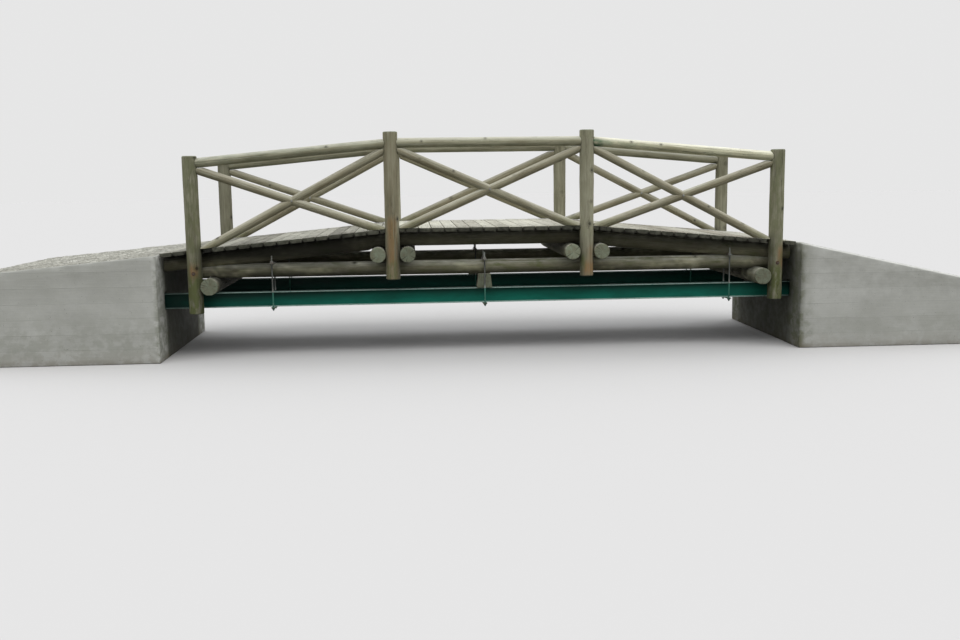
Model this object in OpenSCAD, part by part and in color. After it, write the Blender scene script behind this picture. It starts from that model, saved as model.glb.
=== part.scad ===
// Wooden footbridge of three bays: round posts, rails and crossed braces on a cambered
// deck, carried by logs and two steel beams that are let into concrete abutments.
// X runs along the bridge, Y across it, Z up. The origin is at the centre of the base.
// Left is -X, right is +X, near is -Y and far is +Y.

/* [Layout] */
// Distance between neighbouring posts along the bridge
bay = 2300; // [2000:50:2600]
// Distance between the planes of the two railings
rail_planes = 2200; // [1900:20:2600]
// Height of the deck's top face at mid-span above the base
deck_h = 1510; // [1400:10:1900]
// Fall of the deck over one end bay
end_fall = 210; // [190:5:260]
// Left end post's axis to the left abutment's face
left_reach = 400; // [320:10:500]
// Right end post's axis to the right abutment's face
right_reach = 250; // [220:10:400]
// Whole length over both abutments
whole_l = 11800; // [10800:50:13000]
// Gap left between round pieces that meet on a curved face
fit = 0.3; // [0.2:0.1:0.6]

/* [Railing] */
// Diameter of the posts
post_d = 180; // [160:5:200]
// Chamfer round the top of a post
post_chamfer = 10; // [4:1:20]
// Height of the handrail's axis above the deck
rail_h = 985; // [900:5:1100]
// Diameter of the handrails
rail_d = 120; // [100:5:130]
// Post top above the handrail's axis at the mid posts
mid_post_top = 130; // [80:5:200]
// Post top above the handrail's axis at the end posts
end_post_top = 88; // [75:1:150]
// Length of a mid post below the cross logs that clasp it
mid_post_tail = 200; // [100:5:260]
// Length of a left end post below its cross log
left_post_tail = 222; // [80:2:260]
// Length of a right end post below its cross log
right_post_tail = 188; // [80:2:260]
// Diameter of the braces
brace_d = 100; // [80:5:110]
// Brace axis below the handrail's axis, at the post's axis
brace_drop = 45; // [30:5:80]
// Brace axis from the post's axis, at the deck's top face
brace_foot = 145; // [110:5:200]

/* [Deck] */
// Width of the deck
deck_w = 2280; // [2240:10:2360]
// Thickness of the deck
deck_t = 50; // [40:1:70]
// Open joint between neighbouring bays of the deck
deck_joint = 8; // [4:1:15]
// Gap round a post where it passes the deck
post_gap = 6; // [3:1:12]

/* [Logs] */
// Offset of the logs and steel beams from the railing plane
log_inset = 240; // [210:5:400]
// Diameter of the mid bay's stringers
mid_stringer_d = 180; // [170:5:200]
// Diameter of the end bays' stringers
end_stringer_d = 200; // [190:5:220]
// Flat dressed on a round log where a flat piece bears on it
dress = 5; // [3:1:8]
// Depth of the notch where a log sits on a crossing log
saddle = 8; // [5:1:15]
// Diameter of the cross logs that clasp the mid posts
cross_log_d = 185; // [170:5:200]
// Diameter of the cross logs behind the end posts
end_log_d = 200; // [190:5:220]
// Length of the cross logs
cross_log_l = 2360; // [2300:10:2500]
// Depth of the notch in a cross log where a mid post seats
post_seat = 8; // [4:1:15]
// Depth of the notch in a cross log where an end post seats
end_post_seat = 22; // [10:1:30]
// Diameter of the lower logs that run along the bridge
lower_log_d = 180; // [160:5:200]
// Depth of the lower log's notch over the end cross log
end_notch = 29; // [20:1:40]
// Length of the lower log beyond the end post's axis
lower_log_end = 110; // [60:5:160]
// Depth to which an end stringer's underside is dressed flat on the lower log
stringer_dress = 15; // [8:1:20]

/* [Steel] */
// Depth of the steel beams
beam_h = 180; // [160:5:220]
// Width of the steel beams' flanges
beam_b = 91; // [80:1:120]
// Thickness of the web
web_t = 6; // [5:0.5:9]
// Thickness of the flanges
flange_t = 9; // [7:0.5:12]
// Fillet between web and flange
root_r = 9; // [6:1:12]
// Length of the beam held in the abutment
bearing_l = 250; // [150:10:300]
// Diameter of the tie rods
rod_d = 18; // [12:1:24]
// Tie rod's axis from the side of the lower log
rod_gap = 24; // [18:1:35]
// Width of the clamp plates along the bridge
plate_w = 50; // [44:1:100]
// Thickness of the clamp plates
plate_t = 10; // [6:1:15]
// Tie rod standing above the upper clamp plate
rod_up = 80; // [40:5:120]
// Tie rod below the lower clamp plate
rod_down = 30; // [24:1:45]
// Nut size across its corners
nut_d = 36; // [28:1:48]
// Nut height
nut_h = 16; // [10:1:22]
// Left clamp's distance from mid-span
left_clamp_x = 2580; // [2000:10:2700]
// Middle clamp's distance from mid-span, to the left
mid_clamp_x = 60; // [0:10:300]
// Right clamp's distance from mid-span
right_clamp_x = 2930; // [2000:10:2960]
// Mid-span block's length at its base
block_base = 186; // [150:2:220]
// Mid-span block's length at its top
block_top = 146; // [110:2:200]
// Mid-span block's width across the bridge
block_w = 150; // [110:5:180]

/* [Abutments] */
// Width of the abutments
abut_w = 2600; // [2500:20:2900]
// Thickness of the front wall
front_t = 450; // [350:10:600]
// Thickness of the wing walls
wing_t = 250; // [200:10:350]
// Thickness of the approach slab
slab_t = 120; // [90:5:180]
// Fall of the left approach from the abutment's face to its end
left_fall = 185; // [90:5:280]
// Fall of the right approach from the abutment's face to its end
right_fall = 493; // [260:1:560]
// Gap round a steel beam in its pocket
pocket_gap = 15; // [5:1:30]
// Gap between the deck's end and the abutment's face
deck_end_gap = 10; // [5:1:20]

/* [Hidden] */
$fn = 96;

SIDES = ["near", "far"];
BAYS = ["left", "mid", "right"];
POSTS = [for (s = SIDES, i = [1:4]) str("post_", s, "_", i)];
RAILS = [for (s = SIDES, b = BAYS) str("rail_", s, "_", b)];
BRACES = [for (s = SIDES, b = BAYS) str("braces_", s, "_", b)];
DECKS = [for (b = BAYS) str("deck_", b)];
STRINGERS = [for (s = SIDES, b = BAYS) str("stringer_", s, "_", b)];
LOWER_LOGS = [for (s = SIDES) str("lower_log_", s)];
BEAMS = [for (s = SIDES) str("steel_beam_", s)];
CLAMPS = [for (s = SIDES) str("log_clamps_", s)];
CROSS_LOGS = ["cross_log_left_end", "cross_logs_left_post", "cross_logs_right_post", "cross_log_right_end"];

// Colours
TIMBER = [0.58, 0.58, 0.48];
BRACE_TIMBER = [0.64, 0.62, 0.54];
DECK_TIMBER = [0.80, 0.79, 0.73];
STEEL_GREEN = [0.13, 0.38, 0.34];
ZINC = [0.68, 0.70, 0.71];
CONCRETE = [0.72, 0.73, 0.72];

// Places along the bridge
POST_X = [-1.5 * bay, -0.5 * bay, 0.5 * bay, 1.5 * bay];
left_face = POST_X[0] - left_reach;
right_face = POST_X[3] + right_reach;
half_l = whole_l / 2;

// Levels, from the deck downwards
slope = end_fall / bay;
mid_stringer_low = deck_h - deck_t - mid_stringer_d + dress;
cross_log_top = mid_stringer_low + saddle;
cross_log_z = cross_log_top - cross_log_d / 2;
lower_log_top = cross_log_top - cross_log_d + saddle;
lower_log_z = lower_log_top - lower_log_d / 2;
lower_log_low = lower_log_top - lower_log_d;
end_log_top = lower_log_low + end_notch;
end_log_z = end_log_top - end_log_d / 2;
beam_top = end_log_top - end_log_d + dress;
beam_low = beam_top - beam_h;

// Places across the bridge and offsets from a post
rail_y = rail_planes / 2;
log_y = rail_y - log_inset;
mid_log_off = (post_d + cross_log_d) / 2 - post_seat;
end_log_off = (post_d + end_log_d) / 2 - end_post_seat;
end_log_x = POST_X[3] - end_log_off;

// Reach of a cut that goes right through, and how far other cuts run past their face
cut = 5000;
over = 1;

// Height of the deck's top face, and of the handrail's axis, at a place along the bridge
function deck_z(x) = deck_h - max(0, abs(x) - bay / 2) * slope;
function rail_z(x) = deck_z(x) + rail_h;
function side_y(side) = side == "near" ? -rail_y : rail_y;
function side_log_y(side) = side == "near" ? -log_y : log_y;
function bay_index(b) = b == "left" ? 0 : b == "mid" ? 1 : 2;

// Round bars along the three axes, and between two points of a plane along the bridge
module bar_x(d, x0, x1, y, z)
    translate([x0, y, z]) rotate([0, 90, 0]) cylinder(d = d, h = x1 - x0);
module bar_y(d, l, x, z)
    translate([x, l / 2, z]) rotate([90, 0, 0]) cylinder(d = d, h = l);
module bar_z(d, z0, z1, x, y)
    translate([x, y, z0]) cylinder(d = d, h = z1 - z0);
module bar_between(d, a, b, y)
    translate([a[0], y, a[1]])
        rotate([0, 90 - atan2(b[1] - a[1], b[0] - a[0]), 0])
            cylinder(d = d, h = norm(b - a));

// Outline in the plane along the bridge, extruded across it
module side_plate(y0, y1)
    translate([0, y1, 0]) rotate([90, 0, 0]) linear_extrude(y1 - y0) children();

// Bars that cut the seats in the pieces that meet them
module posts_at(xs, d)
    for (x = xs, y = [-rail_y, rail_y]) bar_z(d, -cut, cut, x, y);
module lower_logs_cut()
    for (y = [-log_y, log_y]) bar_x(lower_log_d + 2 * fit, -cut, cut, y, lower_log_z);

// Railing

module post(i, side) {
    end = i == 0 || i == 3;
    top = rail_z(POST_X[i]) + (end ? end_post_top : mid_post_top);
    tail = i == 0 ? left_post_tail : i == 3 ? right_post_tail : mid_post_tail;
    low = (end ? beam_top : cross_log_top - cross_log_d) - tail;
    color(TIMBER) {
        bar_z(post_d, low, top - post_chamfer, POST_X[i], side_y(side));
        translate([POST_X[i], side_y(side), top - post_chamfer])
            cylinder(d1 = post_d, d2 = post_d - 2 * post_chamfer, h = post_chamfer);
    }
}

// Handrail from post axis to post axis, its ends cut hollow to fit round the posts
module handrail(b, side) {
    x0 = POST_X[bay_index(b)];
    x1 = POST_X[bay_index(b) + 1];
    color(TIMBER) difference() {
        bar_between(rail_d, [x0, rail_z(x0)], [x1, rail_z(x1)], side_y(side));
        posts_at([x0, x1], post_d + 2 * fit);
    }
}

// One straight brace, uncut: from below the rail at one post to the deck at the other
module brace_bar(x_top, x_foot, side, d) {
    run = sign(x_foot - x_top);
    top = [x_top, rail_z(x_top) - brace_drop];
    foot = [x_foot - run * brace_foot, deck_z(x_foot - run * brace_foot)];
    dir = (foot - top) / norm(foot - top);
    bar_between(d, top, foot + dir * 2 * brace_d, side_y(side));
}

// The space under the deck's top face, where the braces end
module below_deck()
    side_plate(-rail_y - post_d, rail_y + post_d)
        polygon([[-half_l, 0], [-half_l, deck_z(half_l)], [-bay / 2, deck_h],
            [bay / 2, deck_h], [half_l, deck_z(half_l)], [half_l, 0]]);

// The space above the handrails' undersides, where the braces' upper ends are cut flat
module above_rail_underside() {
    low = rail_h - rail_d / 2 - fit;
    side_plate(-rail_y - post_d, rail_y + post_d)
        polygon([[-half_l, 2 * deck_h + rail_h], [-half_l, deck_z(half_l) + low], [-bay / 2, deck_h + low],
            [bay / 2, deck_h + low], [half_l, deck_z(half_l) + low], [half_l, 2 * deck_h + rail_h]]);
}

// Crossed braces of one bay: one whole, the other in two halves scribed to it.
// Seen from outside the railing, the whole one always falls to the right.
module braces(b, side) {
    x0 = POST_X[bay_index(b)];
    x1 = POST_X[bay_index(b) + 1];
    whole = side == "near" ? [x0, x1] : [x1, x0];
    color(BRACE_TIMBER) difference() {
        union() {
            brace_bar(whole[0], whole[1], side, brace_d);
            difference() {
                brace_bar(whole[1], whole[0], side, brace_d);
                brace_bar(whole[0], whole[1], side, brace_d + 2 * fit);
            }
        }
        posts_at([x0, x1], post_d + 2 * fit);
        above_rail_underside();
        below_deck();
    }
}

// Deck

module deck(b) {
    i = bay_index(b);
    x0 = i == 0 ? left_face + deck_end_gap : POST_X[i] + deck_joint / 2;
    x1 = i == 2 ? right_face - deck_end_gap : POST_X[i + 1] - deck_joint / 2;
    color(DECK_TIMBER) difference() {
        side_plate(-deck_w / 2, deck_w / 2)
            polygon([[x0, deck_z(x0)], [x1, deck_z(x1)], [x1, deck_z(x1) - deck_t],
                [x0, deck_z(x0) - deck_t]]);
        posts_at([for (x = POST_X) if (x > x0 - post_d && x < x1 + post_d) x], post_d + 2 * post_gap);
    }
}

// Stringers under the deck: level in the mid bay, falling in the end bays

module stringer(b, side) {
    y = side_log_y(side);
    color(TIMBER) if (b == "mid") mid_stringer(y);
    else if (b == "left") left_end() end_stringer(y, -left_face, left_clamp_x);
    else end_stringer(y, right_face, right_clamp_x);
}

module mid_stringer(y) {
    half = (bay - deck_joint) / 2;
    difference() {
        bar_x(mid_stringer_d, -half, half, y, deck_h - deck_t - mid_stringer_d / 2 + dress);
        translate([-half - over, y - post_d, deck_h - deck_t])
            cube([2 * (half + over), 2 * post_d, dress + over]);
        for (x = [POST_X[1] + mid_log_off, POST_X[2] - mid_log_off])
            bar_y(cross_log_d + 2 * fit, cross_log_l, x, cross_log_z);
    }
}

// Falling stringer of the right bay: the deck lies on its dressed top, its underside is
// dressed where it runs out over the lower log and housed over the clamp plate
module end_stringer(y, face, clamp_x) {
    x0 = (bay + deck_joint) / 2;
    x1 = face - deck_end_gap;
    drop = deck_t + end_stringer_d / 2 - dress;
    difference() {
        intersection() {
            bar_between(end_stringer_d, [x0 - bay / 4, deck_line(x0 - bay / 4) - drop],
                [x1 + bay / 4, deck_line(x1 + bay / 4) - drop], y);
            translate([x0, y - post_d, 0]) cube([x1 - x0, 2 * post_d, deck_h]);
        }
        side_plate(y - post_d, y + post_d)
            polygon([[x0 - over, deck_line(x0 - over) - deck_t], [x0 - over, deck_h + over],
                [x1 + over, deck_h + over], [x1 + over, deck_line(x1 + over) - deck_t]]);
        bar_y(cross_log_d + 2 * fit, cross_log_l, POST_X[2] + mid_log_off, cross_log_z);
        side_plate(y - post_d, y + post_d) stringer_underside(x1 + over);
        translate([clamp_x - plate_w / 2 - fit, y - post_d, 0])
            cube([plate_w + 2 * fit, 2 * post_d, lower_log_top - dress + plate_t + fit]);
    }
}

// The end bay's deck line carried on both ways, and the plane on which an end stringer
// and the lower log meet
function deck_line(x) = deck_h - (x - bay / 2) * slope;
function seat_line(x) = deck_line(x) - deck_t - end_stringer_d + dress + stringer_dress;
seat_x = bay / 2 + (deck_line(bay / 2) - deck_t - end_stringer_d + dress + stringer_dress - lower_log_top) / slope;

module stringer_underside(x1)
    polygon([[seat_x, seat_line(seat_x)], [x1, seat_line(x1)], [x1, 0], [seat_x, 0]]);

// Lower logs along the bridge, dressed under the stringers and notched over the end logs

module lower_log(side) {
    y = side_log_y(side);
    end = POST_X[3] + lower_log_end;
    color(TIMBER) difference() {
        bar_x(lower_log_d, -end, end, y, lower_log_z);
        for (m = [0, 1]) mirror([m, 0, 0]) {
            side_plate(y - post_d, y + post_d)
                polygon([[seat_x, seat_line(seat_x)], [end + over, seat_line(end + over)],
                    [end + over, deck_h], [seat_x, deck_h]]);
            bar_y(end_log_d + 2 * fit, cross_log_l, end_log_x, end_log_z);
        }
        translate([-mid_clamp_x - block_base, y - post_d, lower_log_low - over])
            cube([2 * block_base, 2 * post_d, dress + over]);
        for (x = CLAMP_X)
            translate([x - plate_w / 2 - fit, y - post_d, lower_log_top - dress])
                cube([plate_w + 2 * fit, 2 * post_d, deck_h]);
    }
}

// Cross logs that clasp the mid posts, and one behind each end post

module mid_cross_logs(x)
    color(TIMBER) difference() {
        for (off = [-mid_log_off, mid_log_off]) bar_y(cross_log_d, cross_log_l, x + off, cross_log_z);
        lower_logs_cut();
        posts_at([x], post_d + 2 * fit);
    }

module end_cross_log(x, post_x)
    color(TIMBER) difference() {
        bar_y(end_log_d, cross_log_l, x, end_log_z);
        translate([x - end_log_d, -cross_log_l, beam_top - dress - over])
            cube([2 * end_log_d, 2 * cross_log_l, dress + over]);
        posts_at([post_x], post_d + 2 * fit);
    }

// Steel beams and what ties the logs to them

CLAMP_X = [-left_clamp_x, -mid_clamp_x, right_clamp_x];
rod_off = lower_log_d / 2 + rod_gap;

module beam_section() {
    web_half = web_t / 2;
    for (z = [0, beam_h - flange_t]) translate([-beam_b / 2, z]) square([beam_b, flange_t]);
    translate([-web_half, 0]) square([web_t, beam_h]);
    for (mx = [0, 1], mz = [0, 1])
        translate([0, mz * beam_h]) mirror([0, mz]) mirror([mx, 0])
            translate([web_half, flange_t]) difference() {
                translate([-over, -over]) square(root_r + over);
                translate([root_r, root_r]) circle(root_r);
            }
}

module steel_beam(side)
    color(STEEL_GREEN)
        translate([left_face - bearing_l, side_log_y(side), beam_low])
            rotate([90, 0, 90]) linear_extrude(right_face - left_face + 2 * bearing_l) beam_section();

// A plate over the lower log and one under the steel beam, drawn together by two rods
module log_clamps(side)
    color(ZINC) for (x = CLAMP_X) translate([x, side_log_y(side), 0]) {
        plate_l = 2 * rod_off + plate_w;
        upper = lower_log_top - dress;
        for (z = [upper, beam_low - plate_t])
            translate([-plate_w / 2, -plate_l / 2, z]) cube([plate_w, plate_l, plate_t]);
        for (y = [-rod_off, rod_off]) {
            bar_z(rod_d, beam_low - plate_t - rod_down, upper + plate_t + rod_up, 0, y);
            translate([0, y, upper + plate_t]) cylinder(d = nut_d, h = nut_h, $fn = 6);
            translate([0, y, beam_low - plate_t - nut_h]) cylinder(d = nut_d, h = nut_h, $fn = 6);
        }
    }

// Timber blocks at mid-span between each steel beam and its lower log
module mid_span_blocks()
    color(TIMBER) for (y = [-log_y, log_y]) translate([-mid_clamp_x, 0, 0])
        side_plate(y - block_w / 2, y + block_w / 2)
            polygon([[-block_base / 2, beam_top], [block_base / 2, beam_top],
                [block_top / 2, lower_log_low + dress], [-block_top / 2, lower_log_low + dress]]);

// Concrete abutments and approach slabs, drawn for the right end and mirrored for the left

function slab_z(x, face, fall) = deck_line(face) - (x - face) * fall / (half_l - face);

module abutment(face, fall) {
    under = function(x) slab_z(x, face, fall) - slab_t;
    color(CONCRETE) difference() {
        side_plate(-abut_w / 2, abut_w / 2)
            polygon([[face, 0], [half_l, 0], [half_l, under(half_l)], [face, under(face)]]);
        translate([face + front_t, wing_t - abut_w / 2, -over]) cube([half_l, abut_w - 2 * wing_t, deck_h]);
        for (y = [-log_y, log_y])
            translate([face - over, y - beam_b / 2 - pocket_gap, beam_low])
                cube([bearing_l + pocket_gap + over, beam_b + 2 * pocket_gap, beam_h + pocket_gap]);
    }
}

module approach(face, fall)
    color(CONCRETE) side_plate(-abut_w / 2, abut_w / 2)
        polygon([[face, slab_z(face, face, fall)], [half_l, slab_z(half_l, face, fall)],
            [half_l, slab_z(half_l, face, fall) - slab_t], [face, slab_z(face, face, fall) - slab_t]]);

module left_end() mirror([1, 0, 0]) children();

// Each node draws one named piece
for (s = SIDES) {
    for (i = [0:3])
        post(i, s);
    for (b = BAYS) {
        handrail(b, s);
        braces(b, s);
        stringer(b, s);
    }
    lower_log(s);
    steel_beam(s);
    log_clamps(s);
}
for (b = BAYS)
    deck(b);
end_cross_log(-end_log_x, POST_X[0]);  // cross_log_left_end
mid_cross_logs(POST_X[1]);  // cross_logs_left_post
mid_cross_logs(POST_X[2]);  // cross_logs_right_post
end_cross_log(end_log_x, POST_X[3]);  // cross_log_right_end
mid_span_blocks();
left_end() abutment(-left_face, left_fall);  // left_abutment
abutment(right_face, right_fall);  // right_abutment
left_end() approach(-left_face, left_fall);  // left_approach
approach(right_face, right_fall);  // right_approach
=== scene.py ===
"""Looks of the wooden footbridge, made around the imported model.

X runs along the bridge, Y across it and Z up, in metres. Near is -Y, far is +Y. Round timbers
are swept along their own axes and scribed to what they meet; deck boards, bolts, nails and
threads are made here, true to scale. The file is laid out as an add-on and run as a script.
"""
import math
from collections import namedtuple
from functools import reduce
from random import Random

import bmesh
import bpy
from bpy.props import FloatProperty, FloatVectorProperty, PointerProperty
from mathutils import Matrix, Vector, noise


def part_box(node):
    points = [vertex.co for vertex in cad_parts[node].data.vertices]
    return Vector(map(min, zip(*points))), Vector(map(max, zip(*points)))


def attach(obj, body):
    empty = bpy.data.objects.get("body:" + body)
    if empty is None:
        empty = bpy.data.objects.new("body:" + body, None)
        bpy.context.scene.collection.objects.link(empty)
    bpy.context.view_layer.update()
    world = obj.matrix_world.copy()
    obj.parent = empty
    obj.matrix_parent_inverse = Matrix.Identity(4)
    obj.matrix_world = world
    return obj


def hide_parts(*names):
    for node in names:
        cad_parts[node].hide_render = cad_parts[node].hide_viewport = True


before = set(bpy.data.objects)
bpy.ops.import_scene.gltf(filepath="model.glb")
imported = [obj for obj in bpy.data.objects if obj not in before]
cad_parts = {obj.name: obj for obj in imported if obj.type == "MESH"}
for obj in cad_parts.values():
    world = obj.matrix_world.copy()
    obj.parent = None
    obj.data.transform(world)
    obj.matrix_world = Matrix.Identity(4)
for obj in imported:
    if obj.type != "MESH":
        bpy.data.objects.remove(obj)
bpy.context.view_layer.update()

bl_info = {
    "name": "Wooden footbridge",
    "version": (1, 0, 0),
    "blender": (4, 5, 0),
    "location": "3D View > Sidebar > Footbridge",
    "description": "Dresses the packed footbridge in weathered timber, painted steel and concrete",
    "category": "Object",
}


# Places and sizes read from the frame

def size_of(node):
    """Extent of a CAD node along X, Y and Z."""
    low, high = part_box(node)
    return high - low


def middle_of(node):
    """Centre of a CAD node's box."""
    low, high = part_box(node)
    return (low + high) / 2


SIDES = {"near": -1.0, "far": 1.0}
BAYS = ("left", "mid", "right")

POST_X = [middle_of(f"post_near_{i}").x for i in range(1, 5)]
POST_Y = middle_of("post_far_2").y
POST_D = size_of("post_near_2").x
RAIL_D = size_of("rail_near_mid").z
BRACE_D = size_of("braces_near_mid").y
DECK_W = size_of("deck_mid").y
DECK_T = size_of("deck_mid").z
DECK_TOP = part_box("deck_mid")[1].z
DECK_FALL = (size_of("deck_right").z - DECK_T) / size_of("deck_right").x
RAIL_UP = middle_of("rail_near_mid").z - DECK_TOP
LOG_Y = middle_of("stringer_far_mid").y
LOWER_LOG_D = size_of("lower_log_near").y
LOWER_LOG_Z = middle_of("lower_log_near").z
MID_STRINGER_D = size_of("stringer_near_mid").y
END_STRINGER_D = size_of("stringer_near_right").y
CROSS_LOG_D = size_of("cross_logs_left_post").z
CROSS_LOG_Z = middle_of("cross_logs_left_post").z
CROSS_LOG_L = size_of("cross_logs_left_post").y
CROSS_LOG_OFF = (size_of("cross_logs_left_post").x - CROSS_LOG_D) / 2
END_LOG_D = size_of("cross_log_left_end").x
END_LOG_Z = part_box("cross_log_left_end")[1].z - END_LOG_D / 2
END_LOG_X = middle_of("cross_log_right_end").x
BEAM_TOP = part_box("steel_beam_near")[1].z
BEAM_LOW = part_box("steel_beam_near")[0].z
BEAM_B = size_of("steel_beam_near").y
CLAMP_LOW, CLAMP_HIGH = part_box("log_clamps_near")
BLOCK_X = middle_of("mid_span_blocks").x
LEFT_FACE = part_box("left_abutment")[1].x
RIGHT_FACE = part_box("right_abutment")[0].x

# Sizes that the frame's boxes don't give, in metres
FIT = 0.0003  # between curved faces that meet
BRACE_DROP = 0.045  # from a rail's axis down to a brace's
BRACE_FOOT = 0.145  # from a post's axis to where a brace's meets the deck
POST_CHAMFER = 0.010
POST_GAP = 0.006  # between a post and the boards round it
DRESS = 0.005  # planed off a log where it bears
STRINGER_DRESS = 0.015  # planed off an end stringer where it bears on the lower log
WEB_T = 0.006
FLANGE_T = 0.009
ROOT_R = 0.009  # of the fillets between web and flanges
TIP_R = 0.0016  # of the flanges' outer corners
PLATE_W = 0.050
PLATE_T = 0.010
ROD_D = 0.018
ROD_OFF = 0.114  # from a log's axis to a rod's
ROD_UP = 0.080  # of a rod over the upper plate
ROD_DOWN = 0.030  # of a rod under the lower plate
CLAMP_X = (CLAMP_LOW.x + PLATE_W / 2, BLOCK_X, CLAMP_HIGH.x - PLATE_W / 2)


def deck_z(x):
    """Height of the deck's top face."""
    return DECK_TOP - max(0.0, abs(x) - POST_X[2]) * DECK_FALL


def rail_z(x):
    """Height of the handrail's axis."""
    return deck_z(x) + RAIL_UP


# Settings that a user would change

def colour(name, description, default):
    return FloatVectorProperty(name=name, description=description, default=default, subtype="COLOR",
                               size=3, min=0.0, max=1.0)


def length(name, description, default):
    return FloatProperty(name=name, description=description, default=default, min=0.0, unit="LENGTH")


def strength(name, description, default):
    return FloatProperty(name=name, description=description, default=default, min=0.0)


def view_angle(name, description, degrees):
    return FloatProperty(name=name, description=description, default=math.radians(degrees), subtype="ANGLE")


class TimberSettings(bpy.types.PropertyGroup):
    pale: colour("Pale timber", "Weathered face of the posts, rails and logs", (0.405, 0.39, 0.285))
    dark: colour("Dark timber", "Darker streaks of the same face", (0.205, 0.190, 0.125))
    # Upward faces: bleaching of the wood together with painted light from above
    bleached_and_lit: colour("Bleached_and_lit", "Upper faces of the posts, rails and logs", (0.64, 0.64, 0.56))
    rail: colour("Rails", "Pale face of the handrails", (0.52, 0.515, 0.375))
    rail_dark: colour("Dark rails", "Darker streaks of the handrails", (0.26, 0.25, 0.165))
    brace: colour("Braces", "Pale face of the braces", (0.435, 0.425, 0.315))
    # Upward faces of the braces: bleaching together with painted light from above
    brace_bleached_and_lit: colour("Bleached braces", "Upper faces of the braces", (0.575, 0.57, 0.485))
    board: colour("Deck boards", "Pale face of the deck boards", (0.58, 0.565, 0.475))
    board_dark: colour("Deck streaks", "Darker streaks of the deck boards", (0.33, 0.31, 0.235))
    # Upward faces of the boards: bleaching together with painted light from above
    board_bleached_and_lit: colour("Bleached deck", "Upper faces of the deck boards", (0.70, 0.69, 0.60))
    board_end: colour("Board ends", "Dirty sawn ends of the deck boards", (0.215, 0.215, 0.165))
    board_end_dark: colour("Dark board ends", "Darker blots of the same ends", (0.040, 0.040, 0.027))
    end_grain: colour("End grain", "Sawn ends of the logs", (0.285, 0.33, 0.24))
    brown: colour("Brown stain", "Resin and rust stain", (0.345, 0.215, 0.105))
    green: colour("Green film", "Algae on damp timber", (0.165, 0.185, 0.075))
    rail_stain: colour("Rail stain", "Bluish green film on the handrails", (0.085, 0.138, 0.082))
    split_depth: length("Split depth", "Depth of the drying splits", 0.013)
    split_width: length("Split width", "Opening of the drying splits", 0.0045)
    waviness: length("Waviness", "How far a round timber stays inside its full diameter", 0.0025)
    board_pitch: length("Board pitch", "Distance from one deck board to the next", 0.1533)
    board_gap: length("Board gap", "Open joint between deck boards", 0.009)
    board_wane: length("Board wane", "Rounding of the boards' lower edges", 0.019)
    nail_d: length("Nail head", "Diameter of the nail heads in the deck", 0.010)


class SteelSettings(bpy.types.PropertyGroup):
    paint: colour("Paint", "Green paint of the beams", (0.008, 0.185, 0.130))
    paint_worn: colour("Worn paint", "Chalky paint on edges and top faces", (0.36, 0.50, 0.45))
    rust: colour("Rust", "Rust on bare steel", (0.17, 0.065, 0.025))
    zinc: colour("Zinc", "Dull galvanised rods, nuts and washers", (0.50, 0.53, 0.49))
    zinc_worn: colour("Worn zinc", "The same where it is worn or dusty", (0.56, 0.58, 0.55))
    nail: colour("Nails", "Dull steel of the nail heads", (0.28, 0.27, 0.26))
    nail_worn: colour("Worn nails", "The same where it is worn", (0.4, 0.4, 0.4))
    bolt: colour("Post bolts", "Rusty steel of the bolts through the end posts", (0.115, 0.085, 0.065))
    bolt_worn: colour("Worn post bolts", "The same where it is worn", (0.20, 0.17, 0.14))
    bolt_d: length("Post bolt", "Diameter of the bolts through the end posts", 0.016)
    brace_bolt_d: length("Brace bolt", "Diameter of the bolts where braces cross", 0.010)
    nut_d: length("Nut", "Size of the rods' nuts across their corners", 0.036)
    nut_h: length("Nut height", "Height of the rods' nuts", 0.016)
    rod_washer_d: length("Rod washer", "Diameter of the washers under the rods' nuts", 0.042)


class ConcreteSettings(bpy.types.PropertyGroup):
    wall: colour("Walls", "Formed concrete of the abutments", (0.61, 0.61, 0.575))
    wall_dark: colour("Wall stains", "Damp and dirty concrete", (0.25, 0.25, 0.215))
    slab: colour("Slabs", "Rough whitish top of the approaches", (0.46, 0.457, 0.395))
    slab_dark: colour("Slab stains", "Dirt between the stones of the slabs", (0.23, 0.22, 0.18))
    stone: colour("Pale stones", "Palest stones that show in the slabs", (0.64, 0.632, 0.565))
    stone_dark: colour("Dull stones", "Darkest stones that show in the slabs", (0.30, 0.288, 0.245))
    margin: colour("Slab margin", "Smooth pale edge along the right slab", (0.80, 0.80, 0.765))
    margin_dark: colour("Margin stains", "Darker parts of the same edge", (0.50, 0.50, 0.46))
    green: colour("Green film", "Algae on damp concrete", (0.13, 0.14, 0.075))
    dirt: colour("Dirt", "Brown dirt at the foot of the walls", (0.23, 0.17, 0.115))
    arris: length("Arris", "Rounding of the concrete's edges", 0.012)
    slice_l: length("Slice", "Spacing of the cuts that let the faces undulate", 0.12)


class StudioSettings(bpy.types.PropertyGroup):
    camera_at: FloatVectorProperty(name="Camera", description="Where the camera stands",
                                   default=(-0.936, -13.110, 2.068), subtype="TRANSLATION", size=3)
    lens: FloatProperty(name="Lens", description="Focal length in millimetres", default=38.166, min=1.0)
    yaw: view_angle("Yaw", "Turn of the view towards +X", 3.825)
    pitch: view_angle("Pitch", "Fall of the view below level", 7.889)
    roll: view_angle("Roll", "Roll of the camera", -0.765)
    floor: colour("Floor", "Plain pale floor as the camera sees it", (0.6114, 0.60, 0.5976))
    floor_bounce: colour("Floor bounce", "The floor as it lights the underside", (0.07, 0.068, 0.055))
    backdrop: colour("Backdrop", "Plain backdrop as the camera sees it", (0.7937, 0.7937, 0.7937))
    daylight: colour("Daylight", "Tint of the light from above and around", (0.97, 0.99, 1.0))
    above: strength("Light from above", "Strength of the light from overhead", 1.38)
    around: strength("Light from around", "Strength of the light from the sides", 0.36)
    lamp: strength("Lamp", "Strength of the soft lamp", 0.65)


# Shader nodes

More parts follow.
